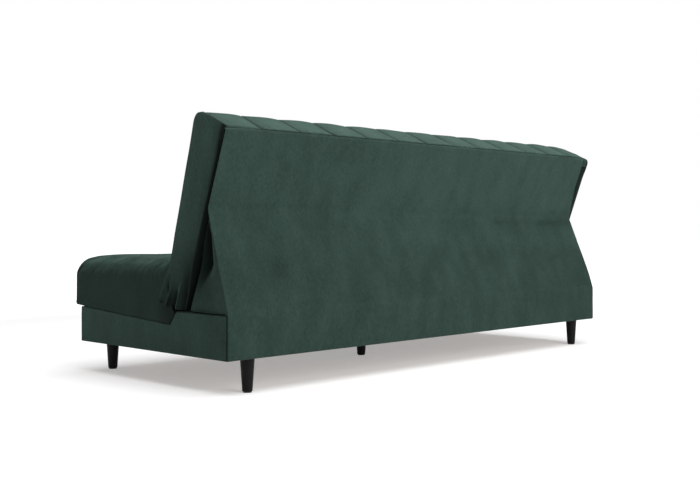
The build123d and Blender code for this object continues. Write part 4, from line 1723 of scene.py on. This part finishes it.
    def gusset_painted_shade(self, places: Array) -> Array:
        """Gives the painted shade deep in the gussets, along their seams, in the hems and under the top
        seam.

        Args:
            places: the cloth's points, one row each.

        Returns:
            One share of darkness per point.
        """
        path = self.path()[::-1]
        fall = np.interp(places[:, 2], path[:, 1], path[:, 0])
        inward = fall - places[:, 1]
        rise = places[:, 2] - BASE_TOP
        spots = np.stack([fall, places[:, 2]], 1)
        share = inward / np.array([self.edge_depth(spot) + self.hem_slack for spot in spots])
        deep = self.gusset_dark[0] + self.gusset_dark[1] * self.gusset_dark_rise.up(rise)
        deep *= self.gusset_dark_in.up(share) * (1.0 - self.gusset_lit * self.gusset_lit_in.up(share))
        deep *= self.gusset_edge.up(inward) * self.gusset_rise.up(rise)
        sewn = self.sewn_dark * np.exp(-(((inward - self.sewn_place) / self.sewn_width) ** 2))
        sewn *= self.sewn_from.up(rise) * self.sewn_to.down(rise)
        hem = self.hem_dark * self.hem_in.up(inward) * self.hem_up.down(rise)
        low, high = (self.top_up - below for below in self.seam_below)
        seam = self.seam_dark * smooth(from_hinge(places[:, 1:], BACK_UP), low, high)
        return np.maximum.reduce([deep, sewn, hem, seam])

    def nap(self, places: Array) -> Array:
        """Gives the painted light and shade: lighter towards the top, darker below the waist and at the
        sides, and dark deep in the gussets.

        Args:
            places: the cloth's points, one row each.

        Returns:
            One share of the full tone per point.
        """
        x, z = places[:, 0], places[:, 2]
        painted_level = self.painted_low + self.painted_middle * self.painted_middle_up.up(z)
        painted_level += self.painted_high * self.painted_high_up.up(z)
        painted_level *= self.painted_full - self.left_dark * self.left_along.up(x) * self.left_up.up(z)
        painted_level *= 1.0 - self.right_dark * self.right_along.up(-x) * self.right_up.down(z)
        return painted_level * (1.0 - self.gusset_painted_shade(places))

    def finish(self) -> None:
        """Builds the cloth, dresses it, hides the nodes it stands for and bakes its placement into its
        points.
        """
        piece = self.build()
        dress(piece, Slot.VELVET, self.nap)
        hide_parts("back_cloth", "rear_flap", "base_cover_rear")
        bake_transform(piece)
        report(piece)


@dataclass
class BoxCovers:
    """Cloth-covered front and sides of the box."""

    thickness: float = 0.003
    front: float = -0.381
    rear: float = 0.404
    rear_gap: float = 0.0008
    top_gap: float = 0.0005
    gap: float = 0.004
    notch_foot: float = 0.130
    notch_top: float = 0.163
    edge: float = 0.0012

    # Strips that turn over the edges
    wrap: float = 0.0016
    wrap_reach: float = 0.024
    wrap_in: float = 0.0006
    wrap_edge: float = 0.0005
    wrap_end: float = 0.001
    lift: float = 0.001
    edge_foot: float = 0.131
    edge_rear: float = 0.409
    ledge_lift: float = 0.0009
    ledge_places: tuple[float, ...] = (0.166, 0.250, 0.3335)
    ledge_reach: Point = (0.907, 0.952)

    # Painted shade on the covers, and the notched sides' share of a full rectangle
    painted_level: float = 0.77
    edge_dark: float = 0.75
    side_share: float = 0.90

    def side(self) -> Piece:
        """Builds the left side's cover, notched along its top for the seat.

        Returns:
            The cover.
        """
        front = self.front + self.thickness
        rear = self.rear - self.rear_gap
        top = BASE_TOP - self.top_gap
        outline = [
            (front, BASE_FOOT),
            (rear, BASE_FOOT),
            (rear, top),
            (self.notch_top, top),
            (self.notch_foot, seat_under(self.notch_foot) - self.gap),
            (front, seat_under(front) - self.gap),
        ]
        return board("box_side_left", outline, HALF - self.thickness, HALF, self.edge)

    def front_cover(self) -> Piece:
        """Builds the front's cover.

        Returns:
            The cover.
        """
        inner = self.front + self.thickness
        top = seat_under(inner) - self.gap
        outline = [(self.front, BASE_FOOT), (inner, BASE_FOOT), (inner, top), (self.front, top)]
        return board("box_front", outline, -HALF, HALF, self.edge)

    def front_edge(self) -> Piece:
        """Builds the strip of cloth that wraps over the front's top edge.

        Returns:
            The strip.
        """
        low = seat_under(self.front) - self.gap - self.top_gap
        high = low + self.wrap
        outer, inner = self.front + self.wrap_in, self.front + self.wrap_reach
        outline = [(outer, low), (inner, low), (inner, high), (outer, high)]
        return board("box_edge_front", outline, self.wrap_end - HALF, HALF - self.wrap_end, self.wrap_edge)

    def strip(self, name: str, line: Sequence[Point], reach: Point) -> Piece:
        """Lays a strip of cloth along the left side's edge.

        Args:
            name: the piece's name.
            line: the edge in Y and Z.
            reach: where the strip starts and ends along X.

        Returns:
            The strip.
        """
        across = np.linspace(*reach, 4)
        rows = [[(float(x), y, z) for x in across] for y, z in line]
        piece = panel(name, np.array(rows), wrap=False)
        stitch_modifier(piece, "SOLIDIFY", thickness=self.wrap, offset=0.0)
        return piece

    def turned(self) -> list[Piece]:
        """Builds the cloth that turns over the left side's edges and over the rail inside it.

        Returns:
            The strips.
        """
        front = self.front + self.thickness
        reach = (HALF - self.wrap_reach, HALF - self.wrap_in)
        top = [(y, seat_under(y) - self.gap + self.lift) for y in (front, self.edge_foot)]
        top += [(y, BASE_TOP + self.wrap_in) for y in (self.notch_top, self.edge_rear)]
        low = [(y, BASE_FOOT + self.wrap_in) for y in (front, self.edge_rear)]
        ledge = [(y, BASE_TOP + self.ledge_lift) for y in self.ledge_places]
        return [
            self.strip("box_edge_left", top, reach),
            self.strip("box_under_left", low, reach),
            self.strip("box_ledge_left", ledge, self.ledge_reach),
        ]

    def nap(self, places: Array) -> Array:
        """Gives the painted shade: a little darker than on the back."""
        return np.full(len(places), self.painted_level)

    def edge_painted_shading(self, places: Array) -> Array:
        """Gives the painted shade along the top edges: dark behind the seat."""
        return self.painted_level * (1.0 - self.edge_dark * smooth(places[:, 1], self.edge_foot, self.notch_top))

    def finish(self) -> None:
        """Builds the covers, dresses them and hands them to the frame."""
        left = [self.side(), *self.turned()]
        right = [twin(piece, piece.name.replace("left", "right")) for piece in left]
        front, edge = self.front_cover(), self.front_edge()
        for side, (cover, *along) in (("left", left), ("right", right)):
            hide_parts(f"base_cover_{side}")
        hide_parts("base_cover_front")
        for piece in (*left, *right, front, edge):
            dress(piece, Slot.VELVET, self.edge_painted_shading if "edge" in piece.name else self.nap)
            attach(piece, Body.BASE.value)
            report(piece)


@dataclass
class Fittings:
    """Frame, legs and mechanism, which are shown as they are made."""

    slots: dict[str, Slot] = field(default_factory=dict)

    def finish(self) -> None:
        """Dresses every construction node by the record's slots."""
        for row in frame["record"]["subparts"]:
            self.slots[row["node"]] = Slot(row["material_slot"])
        for name, node in frame["nodes"].items():
            dress(node, self.slots[name])
        log.info("fittings %d", len(self.slots))


# Studio


@dataclass
class Studio:
    """Pale floor, soft light and the camera."""

    camera_at: Spot = (2.81, 2.711, 0.488)
    camera_turn: float = 134.6
    lens: float = 52.6
    film: float = 36.0
    shift: float = -0.0257
    ambient: float = 0.25
    floor_size: float = 60.0
    floor_tone: Colour = (0.82, 0.82, 0.82)
    floor_roughness: float = 0.9
    lift: float = 0.335
    runs_out: float = 2.2
    run: float = 1.2

    def camera(self) -> None:
        """Sets the camera at the photograph's place."""
        data = bpy.data.cameras.new("camera")
        data.lens = self.lens
        data.sensor_width = self.film
        data.shift_y = self.shift
        camera = bpy.data.objects.new("camera", data)
        camera.location = self.camera_at
        camera.rotation_euler = (math.radians(90.0), 0.0, math.radians(self.camera_turn))
        bpy.context.scene.collection.objects.link(camera)
        bpy.context.scene.camera = camera

    def lamp(self, name: str, at: Spot, aim: Spot, size: float, power: float) -> None:
        """Adds a large soft lamp.

        Args:
            name: the lamp's name.
            at: where it hangs.
            aim: what it points at.
            size: its side.
            power: its strength.
        """
        data = bpy.data.lights.new(name, "AREA")
        data.size = size
        data.energy = power
        lamp = bpy.data.objects.new(name, data)
        lamp.location = at
        way = np.array(aim) - np.array(at)
        flat = math.hypot(way[0], way[1])
        lamp.rotation_euler = (math.atan2(flat, -way[2]), 0.0, math.atan2(way[1], way[0]) - math.pi / 2.0)
        bpy.context.scene.collection.objects.link(lamp)

    def seen(self, tree: Tree) -> Socket:
        """Adds the mask of rays that see the background as white.

        Args:
            tree: the tree that gets it.

        Returns:
            The mask.
        """
        path = tree.nodes.new("ShaderNodeLightPath")
        first = work(tree, "MAXIMUM", path.outputs["Is Camera Ray"], path.outputs["Is Glossy Ray"])
        return work(tree, "MAXIMUM", first, path.outputs["Is Transmission Ray"])

    def world(self) -> None:
        """Sets even light all round and a white background."""
        world = bpy.data.worlds.new("studio")
        world.use_nodes = True
        bpy.context.scene.world = world
        tree = world.node_tree
        ground = tree.nodes["Background"]
        ground.inputs["Color"].default_value = (1.0, 1.0, 1.0, 1.0)
        level = tree.nodes.new("ShaderNodeMapRange")
        level.inputs["To Min"].default_value = self.ambient
        level.inputs["To Max"].default_value = 1.0
        tree.links.new(self.seen(tree), level.inputs["Value"])
        tree.links.new(level.outputs["Result"], ground.inputs["Strength"])

    def floor(self) -> None:
        """Lays the floor, which keeps the sofa's shadow and runs out to white."""
        clear_selection()
        bpy.ops.mesh.primitive_plane_add(size=self.floor_size)
        floor = newly_made("floor")
        made = bpy.data.materials.new("pale_floor")
        made.use_nodes = True
        tree = made.node_tree
        shader = tree.nodes["Principled BSDF"]
        shader.inputs["Base Color"].default_value = (*self.floor_tone, 1.0)
        shader.inputs["Roughness"].default_value = self.floor_roughness
        shader.inputs["Specular IOR Level"].default_value = 0.0
        shader.inputs["Emission Color"].default_value = (1.0, 1.0, 1.0, 1.0)
        place = tree.nodes.new("ShaderNodeTexCoord")
        reach = tree.nodes.new("ShaderNodeVectorMath")
        reach.operation = "LENGTH"
        tree.links.new(place.outputs["Object"], reach.inputs[0])
        rise = tree.nodes.new("ShaderNodeMapRange")
        rise.interpolation_type = "SMOOTHSTEP"
        rise.inputs["From Min"].default_value = self.runs_out
        rise.inputs["From Max"].default_value = self.runs_out + self.run
        rise.inputs["To Min"].default_value = self.lift
        rise.inputs["To Max"].default_value = 1.0
        tree.links.new(reach.outputs["Value"], rise.inputs["Value"])
        shown = work(tree, "MULTIPLY", self.seen(tree), rise.outputs["Result"])
        tree.links.new(shown, shader.inputs["Emission Strength"])
        floor.data.materials.append(made)

    def finish(self) -> None:
        """Sets up the studio."""
        bpy.context.scene.view_settings.view_transform = "Standard"
        self.camera()
        self.world()
        self.floor()
        self.lamp("overhead", at=(0.0, 0.7, 3.6), aim=(0.0, 0.1, 0.0), size=5.0, power=180.0)
        self.lamp("rear_fill", at=(0.2, 5.2, 1.9), aim=(0.0, 0.2, 0.4), size=3.0, power=110.0)


def main() -> None:
    """Builds the finishes, the fittings, the upholstery and the studio in order."""
    logging.basicConfig(level=logging.INFO)
    pile_group()
    figure_group()
    for part in (Fittings(), Seat(), Backrest(), RearCloth(), BoxCovers(), Studio()):
        part.finish()
        log.info("%s done", type(part).__name__)


if __name__ == "__main__":
    main()
